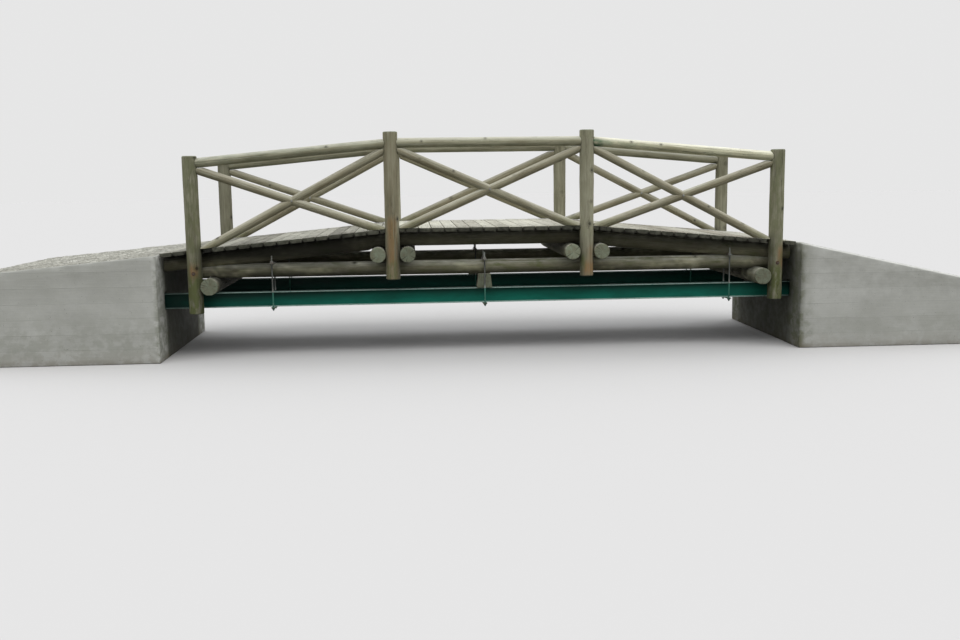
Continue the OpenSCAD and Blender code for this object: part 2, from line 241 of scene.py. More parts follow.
class Graph:
    """Adds nodes to a shader. An input is given as a constant or as another node's socket."""

    def __init__(self, tree):
        self.tree = tree

    def add(self, kind, inputs=None, **settings):
        node = self.tree.nodes.new(kind)
        for name, value in settings.items():
            setattr(node, name, value)
        for key, value in (inputs or {}).items():
            self.feed(node.inputs[key], value)
        return node

    def feed(self, socket, value):
        if isinstance(value, bpy.types.NodeSocket):
            self.tree.links.new(value, socket)
        elif socket.type == "RGBA" and len(value) == 3:
            socket.default_value = (*value, 1.0)
        else:
            socket.default_value = value

    def maths(self, operation, *values):
        return self.add("ShaderNodeMath", dict(enumerate(values)), operation=operation).outputs[0]

    def total(self, *values):
        return reduce(lambda one, other: self.maths("ADD", one, other), values)

    def product(self, *values):
        return reduce(lambda one, other: self.maths("MULTIPLY", one, other), values)

    def rest(self, share):
        """What a share leaves of one."""
        return self.maths("SUBTRACT", 1.0, share)

    def swing(self, value, amount):
        """A 0-to-1 noise value as a swing round zero."""
        return self.product(self.maths("SUBTRACT", value, 0.5), amount)

    def ease(self, value, low, high, to_low=0.0, to_high=1.0):
        node = self.add("ShaderNodeMapRange", {0: value, 1: low, 2: high, 3: to_low, 4: to_high},
                        interpolation_type="SMOOTHSTEP")
        return node.outputs[0]

    def dim(self, mask, level):
        """1 where a mask is 0, down to a level where it is 1."""
        return self.ease(mask, 0.0, 1.0, 1.0, level)

    def crack(self, value, width):
        """A thin line where a noise value passes its middle."""
        return self.ease(self.maths("ABSOLUTE", self.swing(value, 1.0)), width, 0.0)

    def vector(self, operation, *values):
        node = self.add("ShaderNodeVectorMath", dict(enumerate(values)), operation=operation)
        return node.outputs["Value" if operation in ("LENGTH", "DISTANCE") else "Vector"]

    def point(self, x, y, z):
        return self.add("ShaderNodeCombineXYZ", {0: x, 1: y, 2: z}).outputs[0]

    def axes(self, place):
        return self.add("ShaderNodeSeparateXYZ", {0: place}).outputs

    def upwards(self):
        """How far the surface is turned up, from -1 to 1."""
        return self.axes(self.add("ShaderNodeNewGeometry").outputs["Normal"])[2]

    def channels(self, mixed):
        return self.add("ShaderNodeSeparateColor", {0: mixed}).outputs

    def mix(self, factor, first, second, mode="MIX"):
        node = self.add("ShaderNodeMix", {0: factor, 6: first, 7: second}, data_type="RGBA",
                        blend_type=mode, clamp_factor=True)
        return node.outputs[2]

    def tinted(self, face, tint):
        """A colour multiplied by another, or by a shade."""
        return self.mix(1.0, face, tint, "MULTIPLY")

    def noise(self, place, stretch, detail=2.0, roughness=0.55):
        stretched = self.vector("MULTIPLY", place, stretch)
        node = self.add("ShaderNodeTexNoise", {"Vector": stretched, "Scale": 1.0, "Detail": detail,
                                               "Roughness": roughness})
        return node.outputs[0]

    def cells(self, place, stretch, feature="F1", randomness=1.0):
        stretched = self.vector("MULTIPLY", place, stretch)
        return self.add("ShaderNodeTexVoronoi", {"Vector": stretched, "Scale": 1.0,
                                                 "Randomness": randomness}, feature=feature)


VECTOR, COLOUR, NUMBER = "NodeSocketVector", "NodeSocketColor", "NodeSocketFloat"
RELIEF = (("Color", COLOUR), ("Height", NUMBER))
SURFACE = (*RELIEF, ("Roughness", NUMBER))
# Height of the form boards that show in the walls, in metres
FORM_BOARD = 0.18


def fresh_graph(owner):
    """The emptied shader of a material or of the world."""
    owner.use_nodes = True
    owner.node_tree.nodes.clear()
    return Graph(owner.node_tree)


def open_group(name, inputs, outputs=SURFACE):
    """A new node group: its graph, its input sockets by name and its output node."""
    tree = bpy.data.node_groups.new(name, "ShaderNodeTree")
    for label, kind in inputs:
        tree.interface.new_socket(label, in_out="INPUT", socket_type=kind)
    for label, kind in outputs:
        tree.interface.new_socket(label, in_out="OUTPUT", socket_type=kind)
    graph = Graph(tree)
    given = graph.add("NodeGroupInput").outputs
    return graph, given, graph.add("NodeGroupOutput")


def close_group(graph, end, **values):
    for label, value in values.items():
        graph.feed(end.inputs[label], value)


def knots_group():
    """Round knots at random places along a timber: dark heart, halo and grain that flows round them."""
    graph, given, end = open_group("Knots", (("Grain", VECTOR), ("Amount", NUMBER)),
                                   (("Heart", NUMBER), ("Halo", NUMBER), ("Flow", VECTOR)))
    grain = given["Grain"]
    spread = (7.0, 7.0, 2.6)
    cell = graph.cells(grain, spread, randomness=0.85)
    centre = graph.vector("DIVIDE", cell.outputs["Position"], spread)
    away = graph.vector("DISTANCE", grain, centre)
    chance = graph.channels(cell.outputs["Color"])
    reach = graph.ease(chance[0], 0.0, 1.0, 0.012, 0.026)
    wobble = graph.swing(graph.noise(grain, (90.0, 90.0, 60.0)), 0.012)
    near = graph.maths("DIVIDE", graph.total(away, wobble), reach)
    there = graph.maths("LESS_THAN", chance[1], given["Amount"])
    heart = graph.product(graph.ease(near, 1.0, 0.62), there)
    halo = graph.product(graph.ease(near, 2.2, 0.9), there)
    pull = graph.product(graph.ease(near, 4.0, 0.8), there, 0.5)
    from_centre = graph.vector("MULTIPLY", graph.vector("SUBTRACT", grain, centre), (1.0, 1.0, 0.0))
    scaled = graph.add("ShaderNodeVectorMath", {0: from_centre, "Scale": pull}, operation="SCALE").outputs[0]
    close_group(graph, end, Heart=heart, Halo=halo, Flow=graph.vector("SUBTRACT", grain, scaled))


def timber_group():
    """Weathered face of a timber: long fibres, hair splits with painted shade in them, knots, stain, algae,
    upward faces paler by bleaching and painted light, and darkening for dampness and painted shade.
    """
    graph, given, end = open_group("Weathered timber", (
        ("Grain", VECTOR), ("Weather", COLOUR), ("Pale", COLOUR), ("Dark", COLOUR), ("Bleached_and_lit", COLOUR),
        ("Brown", COLOUR), ("Green", COLOUR), ("Knots", NUMBER)))
    grain = given["Grain"]
    knots = graph.add("ShaderNodeGroup", {"Grain": grain, "Amount": given["Knots"]},
                      node_tree=bpy.data.node_groups["Knots"]).outputs
    flow = knots["Flow"]
    fibre = graph.noise(flow, (330.0, 330.0, 6.0), 2.0)
    band = graph.noise(flow, (80.0, 80.0, 1.7), 3.0, 0.6)
    patch = graph.noise(grain, (7.0, 7.0, 2.0), 4.0, 0.6)
    hair = graph.noise(flow, (100.0, 100.0, 1.5), 1.0)
    where = graph.noise(grain, (12.0, 12.0, 1.3), 2.0)
    split = graph.product(graph.crack(hair, 0.016), graph.ease(where, 0.47, 0.58))
    tone = graph.total(0.52, graph.swing(fibre, 0.9), graph.swing(band, 1.9), graph.swing(patch, 2.1))
    face = graph.mix(tone, given["Dark"], given["Pale"])
    # Upward faces paler: bleaching of the wood and painted light from above
    bleach_and_highlight = graph.product(graph.ease(graph.upwards(), 0.0, 0.95), graph.ease(band, 0.30, 0.62, 0.45, 0.85))
    face = graph.mix(bleach_and_highlight, face, given["Bleached_and_lit"])
    brown, green, damp_and_shade = graph.channels(given["Weather"])
    blot = graph.noise(grain, (36.0, 36.0, 2.6), 3.0, 0.6)
    face = graph.mix(graph.product(brown, graph.ease(blot, 0.24, 0.56)), face, given["Brown"])
    film = graph.noise(grain, (17.0, 17.0, 6.0), 4.0, 0.65)
    face = graph.mix(graph.product(green, graph.ease(film, 0.33, 0.62)), face, given["Green"])
    # Darker by dampness and painted shade from the weather, by painted shade in the hair splits, and at the
    # knots
    shade = graph.product(graph.rest(graph.product(damp_and_shade, 0.72)), graph.dim(split, 0.34),
                          graph.dim(knots["Halo"], 0.70), graph.dim(knots["Heart"], 0.38))
    height = graph.total(graph.swing(fibre, 0.9), graph.swing(band, 1.3), graph.product(split, -0.8),
                         graph.product(knots["Heart"], 0.35))
    close_group(graph, end, Color=graph.tinted(face, shade), Height=height,
                Roughness=graph.ease(band, 0.3, 0.7, 0.78, 0.92))


def end_grain_group():
    """Sawn end of a timber: year rings, radial shakes with painted shade in them, saw marks, and darkening
    for dampness and painted shade.
    """
    graph, given, end = open_group("End grain", (("Grain", VECTOR), ("Weather", COLOUR),
                                                 ("Pale", COLOUR), ("Dark", COLOUR)), RELIEF)
    grain = given["Grain"]
    x, y, along = graph.axes(grain)
    pith_x, pith_y = 0.008, -0.006
    which_end = graph.maths("ROUND", along)
    flat = graph.point(x, y, which_end)
    from_pith = graph.point(graph.maths("SUBTRACT", x, pith_x), graph.maths("SUBTRACT", y, pith_y), 0.0)
    away = graph.vector("LENGTH", from_pith)
    bent = graph.total(away, graph.swing(graph.noise(flat, (22.0, 22.0, 9.0), 2.0), 0.012))
    ring = graph.ease(graph.maths("SINE", graph.product(bent, 1250.0)), -0.4, 1.0)
    spoke = graph.vector("ADD", graph.vector("NORMALIZE", from_pith), graph.point(0.0, 0.0, which_end))
    shake = graph.crack(graph.noise(spoke, (3.1, 3.1, 5.3), 1.0), 0.011)
    shake = graph.product(shake, graph.ease(away, 0.006, 0.03))
    saw = graph.noise(flat, (18.0, 240.0, 1.0), 2.0)
    blot = graph.noise(grain, (24.0, 24.0, 5.0), 3.0, 0.6)
    tone = graph.total(0.62, graph.swing(blot, 1.9), graph.swing(saw, 0.5), graph.product(ring, -0.26))
    face = graph.mix(tone, given["Dark"], given["Pale"])
    damp_and_shade = graph.channels(given["Weather"])[2]
    # Shakes darkened as painted shade, the whole end by dampness and painted shade
    shade = graph.product(graph.dim(shake, 0.30), graph.rest(graph.product(damp_and_shade, 0.5)))
    height = graph.total(graph.product(ring, 0.25), graph.swing(saw, 0.5), graph.product(shake, -1.0))
    close_group(graph, end, Color=graph.tinted(face, shade), Height=height)


def wear_group():
    """Painted or galvanised steel: cloudy coat, dust on top faces, worn edges, rust, and darkening for
    dampness and painted shade.
    """
    graph, given, end = open_group("Worn steel", (
        ("Place", VECTOR), ("Weather", COLOUR), ("Coat", COLOUR), ("Worn", COLOUR), ("Rust", COLOUR),
        ("Dust", NUMBER), ("Spangle", NUMBER)), (*SURFACE, ("Bare", NUMBER)))
    place, coat = given["Place"], given["Coat"]
    cloud = graph.noise(place, (3.0, 3.0, 9.0), 4.0, 0.6)
    speck = graph.noise(place, (70.0, 70.0, 90.0), 3.0, 0.6)
    spot = graph.noise(place, (28.0, 28.0, 28.0), 5.0, 0.7)
    flake = graph.channels(graph.cells(place, (120.0, 120.0, 120.0)).outputs["Color"])[0]
    coat = graph.mix(graph.ease(cloud, 0.3, 0.7), graph.tinted(coat, (0.66, 0.72, 0.72)), coat)
    coat = graph.mix(graph.product(given["Spangle"], flake), coat, given["Worn"])
    edge, streak, damp_and_shade = graph.channels(given["Weather"])
    worn = graph.product(edge, graph.ease(speck, 0.28, 0.46))
    dust = graph.product(graph.ease(graph.upwards(), 0.55, 0.98), given["Dust"],
                         graph.ease(cloud, 0.25, 0.65, 0.45, 1.0))
    face = graph.mix(graph.maths("MAXIMUM", worn, dust), coat, given["Worn"])
    rust = graph.product(streak, graph.ease(spot, 0.36, 0.60), graph.ease(speck, 0.30, 0.55, 0.4, 1.0))
    # Darkened by dampness and painted shade from the weather
    face = graph.tinted(graph.mix(rust, face, given["Rust"]), graph.rest(graph.product(damp_and_shade, 0.6)))
    height = graph.total(graph.swing(speck, 0.5), graph.product(rust, 0.8), graph.product(worn, -0.5))
    rough = graph.total(graph.ease(cloud, 0.3, 0.7, 0.42, 0.58), graph.product(rust, 0.35))
    close_group(graph, end, Color=face, Height=height, Roughness=rough, Bare=graph.rest(rust))


def concrete_group():
    """Formed concrete: marks of the form boards, clouds, pores darkened as painted shade, streaks, dirt, and
    darkening for dampness and painted shade.
    """
    graph, given, end = open_group("Formed concrete", (
        ("Place", VECTOR), ("Weather", COLOUR), ("Clean", COLOUR), ("Dirty", COLOUR), ("Green", COLOUR),
        ("Brown", COLOUR)))
    place = given["Place"]
    cloud = graph.noise(place, (1.6, 1.6, 2.2), 5.0, 0.6)
    blot = graph.noise(place, (9.0, 9.0, 11.0), 4.0, 0.6)
    sand = graph.noise(place, (160.0, 160.0, 160.0), 3.0, 0.7)
    run = graph.noise(place, (7.0, 7.0, 0.7), 3.0, 0.6)
    imprint = graph.noise(place, (1.6, 1.6, 130.0), 2.0)
    cell = graph.cells(place, (55.0, 55.0, 55.0))
    chance = graph.channels(cell.outputs["Color"])[0]
    without = 0.82
    across = graph.maths("DIVIDE", cell.outputs["Distance"], graph.ease(chance, without, 1.0, 0.03, 0.24))
    pore = graph.product(graph.ease(across, 1.0, 0.6), graph.maths("GREATER_THAN", chance, without))
    bent = graph.total(graph.axes(place)[2], graph.swing(graph.noise(place, (1.1, 1.1, 1.1)), 0.012))
    seam = graph.product(graph.ease(graph.maths("PINGPONG", bent, FORM_BOARD / 2), 0.004, 0.0),
                         graph.ease(cloud, 0.35, 0.6, 0.2, 1.0))
    number = graph.maths("FLOOR", graph.maths("DIVIDE", bent, FORM_BOARD))
    board = graph.add("ShaderNodeTexWhiteNoise", {"W": number}, noise_dimensions="1D").outputs[0]
    green, dirt, damp_and_shade = graph.channels(given["Weather"])
    tone = graph.total(0.84, graph.swing(cloud, 0.95), graph.swing(blot, 0.55), graph.swing(sand, 0.35),
                       graph.swing(board, 0.10), graph.swing(imprint, 0.30))
    # Streaky darkening by dampness and painted shade from the weather
    tone = graph.maths("SUBTRACT", tone, graph.product(damp_and_shade, graph.ease(run, 0.25, 0.7, 0.7, 1.0)))
    face = graph.mix(tone, given["Dirty"], given["Clean"])
    face = graph.mix(graph.product(green, graph.ease(blot, 0.35, 0.62)), face, given["Green"])
    face = graph.mix(graph.product(dirt, graph.ease(blot, 0.28, 0.58)), face, given["Brown"])
    # Pores darkened as painted shade, form-board seams as dark joints, and deep darkening by dampness and
    # painted shade
    shade = graph.product(graph.dim(pore, 0.45), graph.dim(seam, 0.80), graph.ease(damp_and_shade, 0.5, 1.3, 1.0, 0.40))
    height = graph.total(graph.swing(sand, 0.4), graph.swing(blot, 0.5), graph.swing(imprint, 0.35),
                         graph.product(seam, 0.5), graph.product(pore, -1.2))
    close_group(graph, end, Color=graph.tinted(face, shade), Height=height,
                Roughness=graph.ease(cloud, 0.3, 0.7, 0.72, 0.88))


# Stones in the slabs' tops: how many to the metre, how high they stand and what share of them shows
Stones = namedtuple("Stones", "scale rise share")
STONES = (Stones(75.0, 0.15, 0.5), Stones(30.0, 0.4, 0.5), Stones(12.5, 0.9, 0.55))


def rubble_group():
    """Rough whitish top of the approaches: stones of three sizes that show in worn lean concrete."""
    graph, given, end = open_group("Rough slab", (
        ("Place", VECTOR), ("Clean", COLOUR), ("Dirty", COLOUR), ("Pale stone", COLOUR),
        ("Dull stone", COLOUR)), RELIEF)
    place = moved = given["Place"]
    for scale, detail, push in ((38.0, 3.0, 0.035), (170.0, 2.0, 0.007)):
        way = graph.add("ShaderNodeTexNoise", {"Vector": place, "Scale": scale, "Detail": detail})
        moved = graph.vector("ADD", moved, graph.vector("MULTIPLY", way.outputs["Color"], (push, push, push)))
    cloud = graph.noise(place, (2.6, 2.6, 2.6), 5.0, 0.6)
    sand = graph.noise(place, (150.0, 150.0, 150.0), 4.0, 0.7)
    face = graph.mix(graph.total(0.50, graph.swing(cloud, 1.6), graph.swing(sand, 1.1)),
                     given["Dirty"], given["Clean"])
    height = graph.total(graph.swing(sand, 0.4), graph.swing(cloud, 0.6))
    uneven = graph.total(1.0, graph.swing(sand, 0.7), graph.swing(cloud, 0.7))
    for stones in STONES:
        stretch = (stones.scale, stones.scale, stones.scale)
        chance = graph.channels(graph.cells(moved, stretch).outputs["Color"])
        border = graph.cells(moved, stretch, "DISTANCE_TO_EDGE").outputs["Distance"]
        chosen = graph.maths("LESS_THAN", chance[0], stones.share)
        shows = graph.product(chosen, graph.ease(border, 0.03, 0.09))
        stone = graph.tinted(graph.mix(chance[1], given["Dull stone"], given["Pale stone"]), uneven)
        # A dark rim round each stone, painted shade in the crease
        seam = graph.product(chosen, graph.ease(border, 0.07, 0.02, 0.0, 0.38))
        face = graph.tinted(graph.mix(shows, face, stone), graph.rest(seam))
        height = graph.total(height, graph.product(shows, stones.rise))
    close_group(graph, end, Color=face, Height=height)


# What a group's input reads from the piece, by the input's name: node, its settings and its output
SOURCES = {"Grain": ("ShaderNodeAttribute", {"attribute_name": "grain"}, "Vector"),
           "Weather": ("ShaderNodeAttribute", {"attribute_name": "weather"}, "Color"),
           "Place": ("ShaderNodeTexCoord", {}, "Object")}


def finish_material(name, group, bump, values, metallic=0.0, specular=0.3):
    """A material whose colour, roughness and bump come from one group, which is given these values."""
    graph = fresh_graph(bpy.data.materials.new(name))
    placed = graph.add("ShaderNodeGroup", values, node_tree=bpy.data.node_groups[group])
    for label, (kind, settings, output) in SOURCES.items():
        if label in placed.inputs:
            graph.feed(placed.inputs[label], graph.add(kind, **settings).outputs[output])
    relief = graph.add("ShaderNodeBump", {"Strength": 1.0, "Distance": bump,
                                          "Height": placed.outputs["Height"]})
    surface = graph.add("ShaderNodeBsdfPrincipled", {
        "Base Color": placed.outputs["Color"], "Roughness": 0.88, "Normal": relief.outputs[0],
        "Metallic": metallic, "Specular IOR Level": specular})
    if "Roughness" in placed.outputs:
        graph.feed(surface.inputs["Roughness"], placed.outputs["Roughness"])
    if "Bare" in placed.outputs and metallic:
        graph.feed(surface.inputs["Metallic"], graph.product(placed.outputs["Bare"], metallic))
    graph.add("ShaderNodeOutputMaterial", {0: surface.outputs[0]})


def make_timber_materials():
    timber = bpy.context.scene.footbridge_timber
    pale, dark, bleached_and_lit, green = timber.pale, timber.dark, timber.bleached_and_lit, timber.green
    for name, face, streaks, top, film, knots, bump in (
            ("Post timber", pale, dark, bleached_and_lit, green, 0.55, 0.0018),
            ("Rail timber", timber.rail, timber.rail_dark, bleached_and_lit, timber.rail_stain, 0.40, 0.0018),
            ("Log timber", pale, dark, bleached_and_lit, green, 0.35, 0.0018),
            ("Brace timber", timber.brace, dark, timber.brace_bleached_and_lit, green, 0.45, 0.0018),
            ("Board timber", timber.board, timber.board_dark, timber.board_bleached_and_lit, green, 0.5, 0.0025)):
        finish_material(name, "Weathered timber", bump, {
            "Pale": face, "Dark": streaks, "Bleached_and_lit": top, "Brown": timber.brown, "Green": film,
            "Knots": knots})
    for name, face, streaks in (("Log end", timber.end_grain, dark),
                                ("Board end", timber.board_end, timber.board_end_dark)):
        finish_material(name, "End grain", 0.0015, {"Pale": face, "Dark": streaks})


def make_steel_materials():
    steel = bpy.context.scene.footbridge_steel
    for name, coat, worn, dust, spangle, metallic, specular in (
            ("Green paint", steel.paint, steel.paint_worn, 0.9, 0.0, 0.0, 0.14),
            ("Galvanised steel", steel.zinc, steel.zinc_worn, 0.3, 0.4, 0.2, 0.3),
            ("Nail steel", steel.nail, steel.nail_worn, 0.3, 0.2, 0.8, 0.3),
            ("Rusty steel", steel.bolt, steel.bolt_worn, 0.2, 0.3, 0.5, 0.3)):
        finish_material(name, "Worn steel", 0.0008, {
            "Coat": coat, "Worn": worn, "Rust": steel.rust, "Dust": dust, "Spangle": spangle},
            metallic, specular)


def make_concrete_materials():
    concrete = bpy.context.scene.footbridge_concrete
    for name, clean, dirty, bump in (("Wall concrete", concrete.wall, concrete.wall_dark, 0.0022),
                                     ("Margin concrete", concrete.margin, concrete.margin_dark, 0.0012)):
        finish_material(name, "Formed concrete", bump, {
            "Clean": clean, "Dirty": dirty, "Green": concrete.green, "Brown": concrete.dirt})
    finish_material("Slab concrete", "Rough slab", 0.008, {
        "Clean": concrete.slab, "Dirty": concrete.slab_dark, "Pale stone": concrete.stone,
        "Dull stone": concrete.stone_dark})


def make_materials():
    """Builds every group once and each finish from it."""
    for group in (knots_group, timber_group, end_grain_group, wear_group, concrete_group, rubble_group):
        group()
    make_timber_materials()
    make_steel_materials()
    make_concrete_materials()


# Pieces and their meshes

Row = namedtuple("Row", "kind share place")


def place_object(name, data):
    """A new object in the scene, at the origin and unturned."""
    item = bpy.data.objects.new(name, data)
    bpy.context.scene.collection.objects.link(item)
    return item


def add_piece(name, bm, materials, nodes=(), sharp=38.0):
    """Turns a bmesh into a piece that rides on the bridge and stands for its CAD nodes."""
    bmesh.ops.recalc_face_normals(bm, faces=bm.faces)
    for face in bm.faces:
        face.smooth = True
    mesh = bpy.data.meshes.new(name)
    bm.to_mesh(mesh)
    bm.free()
    # A copied node brings stored normals along, which don't fit its new edges
    if "custom_normal" in mesh.attributes:
        mesh.attributes.remove(mesh.attributes["custom_normal"])
    mesh.set_sharp_from_angle(angle=math.radians(sharp))
    for material in materials:
        mesh.materials.append(bpy.data.materials[material])
    piece = place_object(name, mesh)
    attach(piece, "root")
    if nodes:
        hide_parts(*nodes)


def bevel(bm, geom, affect, offset, segments, clamp=False):
    """Rounds edges or corners."""
    bmesh.ops.bevel(bm, geom=geom, affect=affect, offset=offset, segments=segments, profile=0.5,
                    material=-1, clamp_overlap=clamp)


def in_order(verts):
    """The vertices of one closed loop, walked from the first."""
    loop = [verts[0]]
    while len(loop) < len(verts):
        last = loop[-1]
        beside = [edge.other_vert(last) for edge in last.link_edges]
        loop.append(next(vert for vert in beside if vert not in loop))
    return loop


def new_mesh(node=None):
    """An empty bmesh, or a CAD node's, with layers for column, row, place in the grain and weather, which
    carries painted light and shade too.
    """
    bm = bmesh.new()
    if node:
        bm.from_mesh(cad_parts[node].data)
    layers = bm.verts.layers
    layers.int.new("column")
    layers.int.new("row")
    layers.float_vector.new("grain")
    layers.float_color.new("weather")
    return bm


def section_of(bm):
    """Points of a closed outline that was drawn in its own bmesh."""
    points = [vert.co.copy() for vert in in_order(list(bm.verts))]
    bm.free()
    return points


def join(bm, part):
    """Moves the geometry of one bmesh into another."""
    mesh = bpy.data.meshes.new("part")
    part.to_mesh(mesh)
    part.free()
    bm.from_mesh(mesh)
    bpy.data.meshes.remove(mesh)


def layers_of(bm):
    layers = bm.verts.layers
    return (layers.int["column"], layers.int["row"], layers.float_vector["grain"],
            layers.float_color["weather"])


def sweep(bm, columns, rows, put, caps=1):
    """Pulls a closed outline of so many columns through rows and shuts both ends.

    put(column, row) gives a vertex's place, its place in the grain and its weather, painted light and shade
    included.
    """
    part = new_mesh()
    column, number, grain, weather = layers_of(part)
    loop = in_order(bmesh.ops.create_circle(part, segments=columns, radius=1.0)["verts"])
    for index, vert in enumerate(loop):
        vert[column] = index
        vert[number] = 0
    made = list(loop)
    first = edges = part.edges[:]
    for index in range(1, len(rows)):
        pulled = bmesh.ops.extrude_edge_only(part, edges=edges)["geom"]
        ring = [item for item in pulled if isinstance(item, bmesh.types.BMVert)]
        for vert in ring:
            vert[number] = index
        members = set(ring)
        edges = [item for item in pulled
                 if isinstance(item, bmesh.types.BMEdge) and members.issuperset(item.verts)]
        is_cap = rows[index].kind != "body" or rows[index - 1].kind != "body"
        for face in pulled:
            if isinstance(face, bmesh.types.BMFace):
                face.material_index = caps if is_cap else 0
        made += ring
    for vert in made:
        vert.co, vert[grain], tint = put(vert[column], rows[vert[number]])
        vert[weather] = (*tint, 1.0)
    for rim in (first, edges):
        for face in bmesh.ops.contextual_create(part, geom=rim)["faces"]:
            face.material_index = caps
    join(bm, part)


def last_clear(is_met, clear, met, halvings):
    """The last place before a test is met, found by halving the stretch between a clear and a met one."""
    for _ in range(halvings):
        half = (clear + met) / 2
        if is_met(half):
            met = half
        else:
            clear = half
    return clear


# Round timbers

Split = namedtuple("Split", "column middle half depth width")
COLUMNS = 56
# A direction in which no timber runs
SKEW = Vector((0.31, 0.87, 0.38))
# Timbers of this radius and more have drying splits of full size
FULL_SPLIT_R = 0.09
# Length of a swelling, and of the stretch at each end that follows the cuts
SWELL_L = 0.07
END_L = 0.06
SEARCH_STEP = 0.02


class RoundTimber:
    """A round timber from one point to another, scribed to the pieces that it meets.

    cuts end the timber and notches hollow its side; each is a test that is true inside the
    piece it meets. weather gives stain, algae, dampness, and painted light and shade at a point.
    """

    def __init__(self, start, end, diameter, seed, weather, cuts=(), notches=(), chamfer=0.0025,
                 spacing=0.05, close_rows=(), splits=4, swell=0.0, narrow=(0.0, 0.0)):
        settings = bpy.context.scene.footbridge_timber
        self.start = Vector(start)
        self.length = (Vector(end) - self.start).length
        self.axis = (Vector(end) - self.start).normalized()
        self.across = self.axis.cross(SKEW).normalized()
        self.up = self.axis.cross(self.across)
        self.radius = diameter / 2
        self.seed = seed
        self.cuts = cuts
        self.notches = notches
        self.weather = weather
        self.chamfer = chamfer
        self.waviness = settings.waviness
        self.narrow = narrow
        self.spacing = spacing
        self.close_rows = close_rows
        self.random = Random(seed)
        self.swells = []
        if swell:
            self.swells = [(self.random.uniform(0.1, 0.9) * self.length, swell) for _ in range(3)]
        self.splits = [self.new_split(index, splits, settings) for index in range(splits)]

    def new_split(self, index, count, settings):
        """A drying split, open at one end of the timber or somewhere along it."""
        draw = self.random.uniform
        column = round((index + draw(0.15, 0.75)) * COLUMNS / count) % COLUMNS
        if self.random.random() < 0.6:
            middle, reach = self.random.choice((0.0, self.length)), self.length
        else:
            middle, reach = draw(0.25, 0.75) * self.length, self.length / 2
        half = draw(0.25, 0.6) * reach
        scale = draw(0.6, 1.15) * min(1.0, self.radius / FULL_SPLIT_R)
        return Split(column, middle, half, settings.split_depth * scale, settings.split_width * scale)

    def opening(self, split, place):
        """How far a split is open at a place along the timber, from 0 to 1."""
        share = 1.0 - abs(place - split.middle) / split.half
        return share ** 0.6 if share > 0 else 0.0

    def angle(self, column, place):
        """Turn of a column about the axis, which wanders beside a split and parts at its opening."""
        step = math.tau / COLUMNS
        turn = column * step
        for split in self.splits:
            apart = (column - split.column + COLUMNS // 2) % COLUMNS - COLUMNS // 2
            if abs(apart) <= 3:
                wander = 0.05 * noise.noise(Vector((place * 2.2, split.column, self.seed)))
                turn += wander * (1 - abs(apart) / 4)
            if abs(apart) == 1:
                half_width = split.width / 2 / self.radius
                turn += self.opening(split, place) * apart * (half_width - step)
        return turn

    def ray(self, turn):
        return self.across * math.cos(turn) + self.up * math.sin(turn)

    def point(self, turn, away, place):
        return self.start + self.axis * place + self.ray(turn) * away

    def full_reach(self, turn, place):
        """Distance from axis to face, before splits and notches."""
        share = place / self.length
        reach = self.radius - self.narrow[0] * (1 - share) - self.narrow[1] * share
        sway = noise.noise(Vector((math.cos(turn) * 1.1, math.sin(turn) * 1.1,
                                   place * 1.7 + self.seed * 5.1)))
        reach -= self.waviness * (0.5 - 0.5 * sway)
        for middle, rise in self.swells:
            reach -= rise * (1 - math.exp(-((place - middle) / SWELL_L) ** 2)) / len(self.swells)
        return reach

    def reach(self, column, turn, place):
        """Distance from axis to face, with its splits and notches."""
        def is_notched(away):
            return self.is_in(self.notches, self.point(turn, away, place))

        reach = self.full_reach(turn, place)
        for split in self.splits:
            if column == split.column:
                reach -= split.depth * self.opening(split, place)
        return last_clear(is_notched, 0.0, reach, halvings=14) if is_notched(reach) else reach

    @staticmethod
    def is_in(tests, point):
        return any(test(point) for test in tests)

    def limit(self, turn, away, at_end):
        """Where a line beside the axis ends against the cuts."""
        def is_cut(place):
            return self.is_in(self.cuts, self.point(turn, away, place))

        place, step = (self.length, -SEARCH_STEP) if at_end else (0.0, SEARCH_STEP)
        if not is_cut(place):
            return place
        while is_cut(place):
            place += step
            if not 0 <= place <= self.length:
                raise ValueError(f"timber {self.seed} is cut away along its whole length")
        return last_clear(is_cut, place, place - step, halvings=12)

    def rows(self):
        """Rings of the sawn ends, and rows along the body that lie closer at its notches."""
        shares = (0.06, 0.22, 0.42, 0.62, 0.8, 1 - self.chamfer / self.radius)
        body = [i * self.spacing for i in range(int(self.length / self.spacing) + 1)]
        body = [place for place in body if place < self.length - self.spacing * 0.4] + [self.length]
        for centre, reach in self.close_rows:
            body = [place for place in body
                    if abs(place - centre) > reach + 0.004 or place in (0.0, self.length)]
            count = max(2, round(reach / 0.006))
            body += [centre + reach * i / count for i in range(-count, count + 1)
                     if 0.002 < centre + reach * i / count < self.length - 0.002]
        return ([Row("start", share, 0.0) for share in shares] + [Row("body", 1.0, p) for p in sorted(body)]
                + [Row("end", share, self.length) for share in reversed(shares)])

    def add_to(self, bm):
        """Adds the timber to a bmesh."""
        ends = {}
        for column in range(COLUMNS):
            for at_end in (False, True):
                turn = self.angle(column, self.length if at_end else 0.0)
                ends[column, at_end] = self.limit(turn, self.radius, at_end)
        inner = max(ends[column, False] for column in range(COLUMNS)) + END_L
        outer = min(ends[column, True] for column in range(COLUMNS)) - END_L

        def along(column, place):
            first, last = ends[column, False] + self.chamfer, ends[column, True] - self.chamfer
            if place < inner:
                return first + (inner - first) * place / inner
            if place > outer:
                return outer + (last - outer) * (place - outer) / (self.length - outer)
            return place

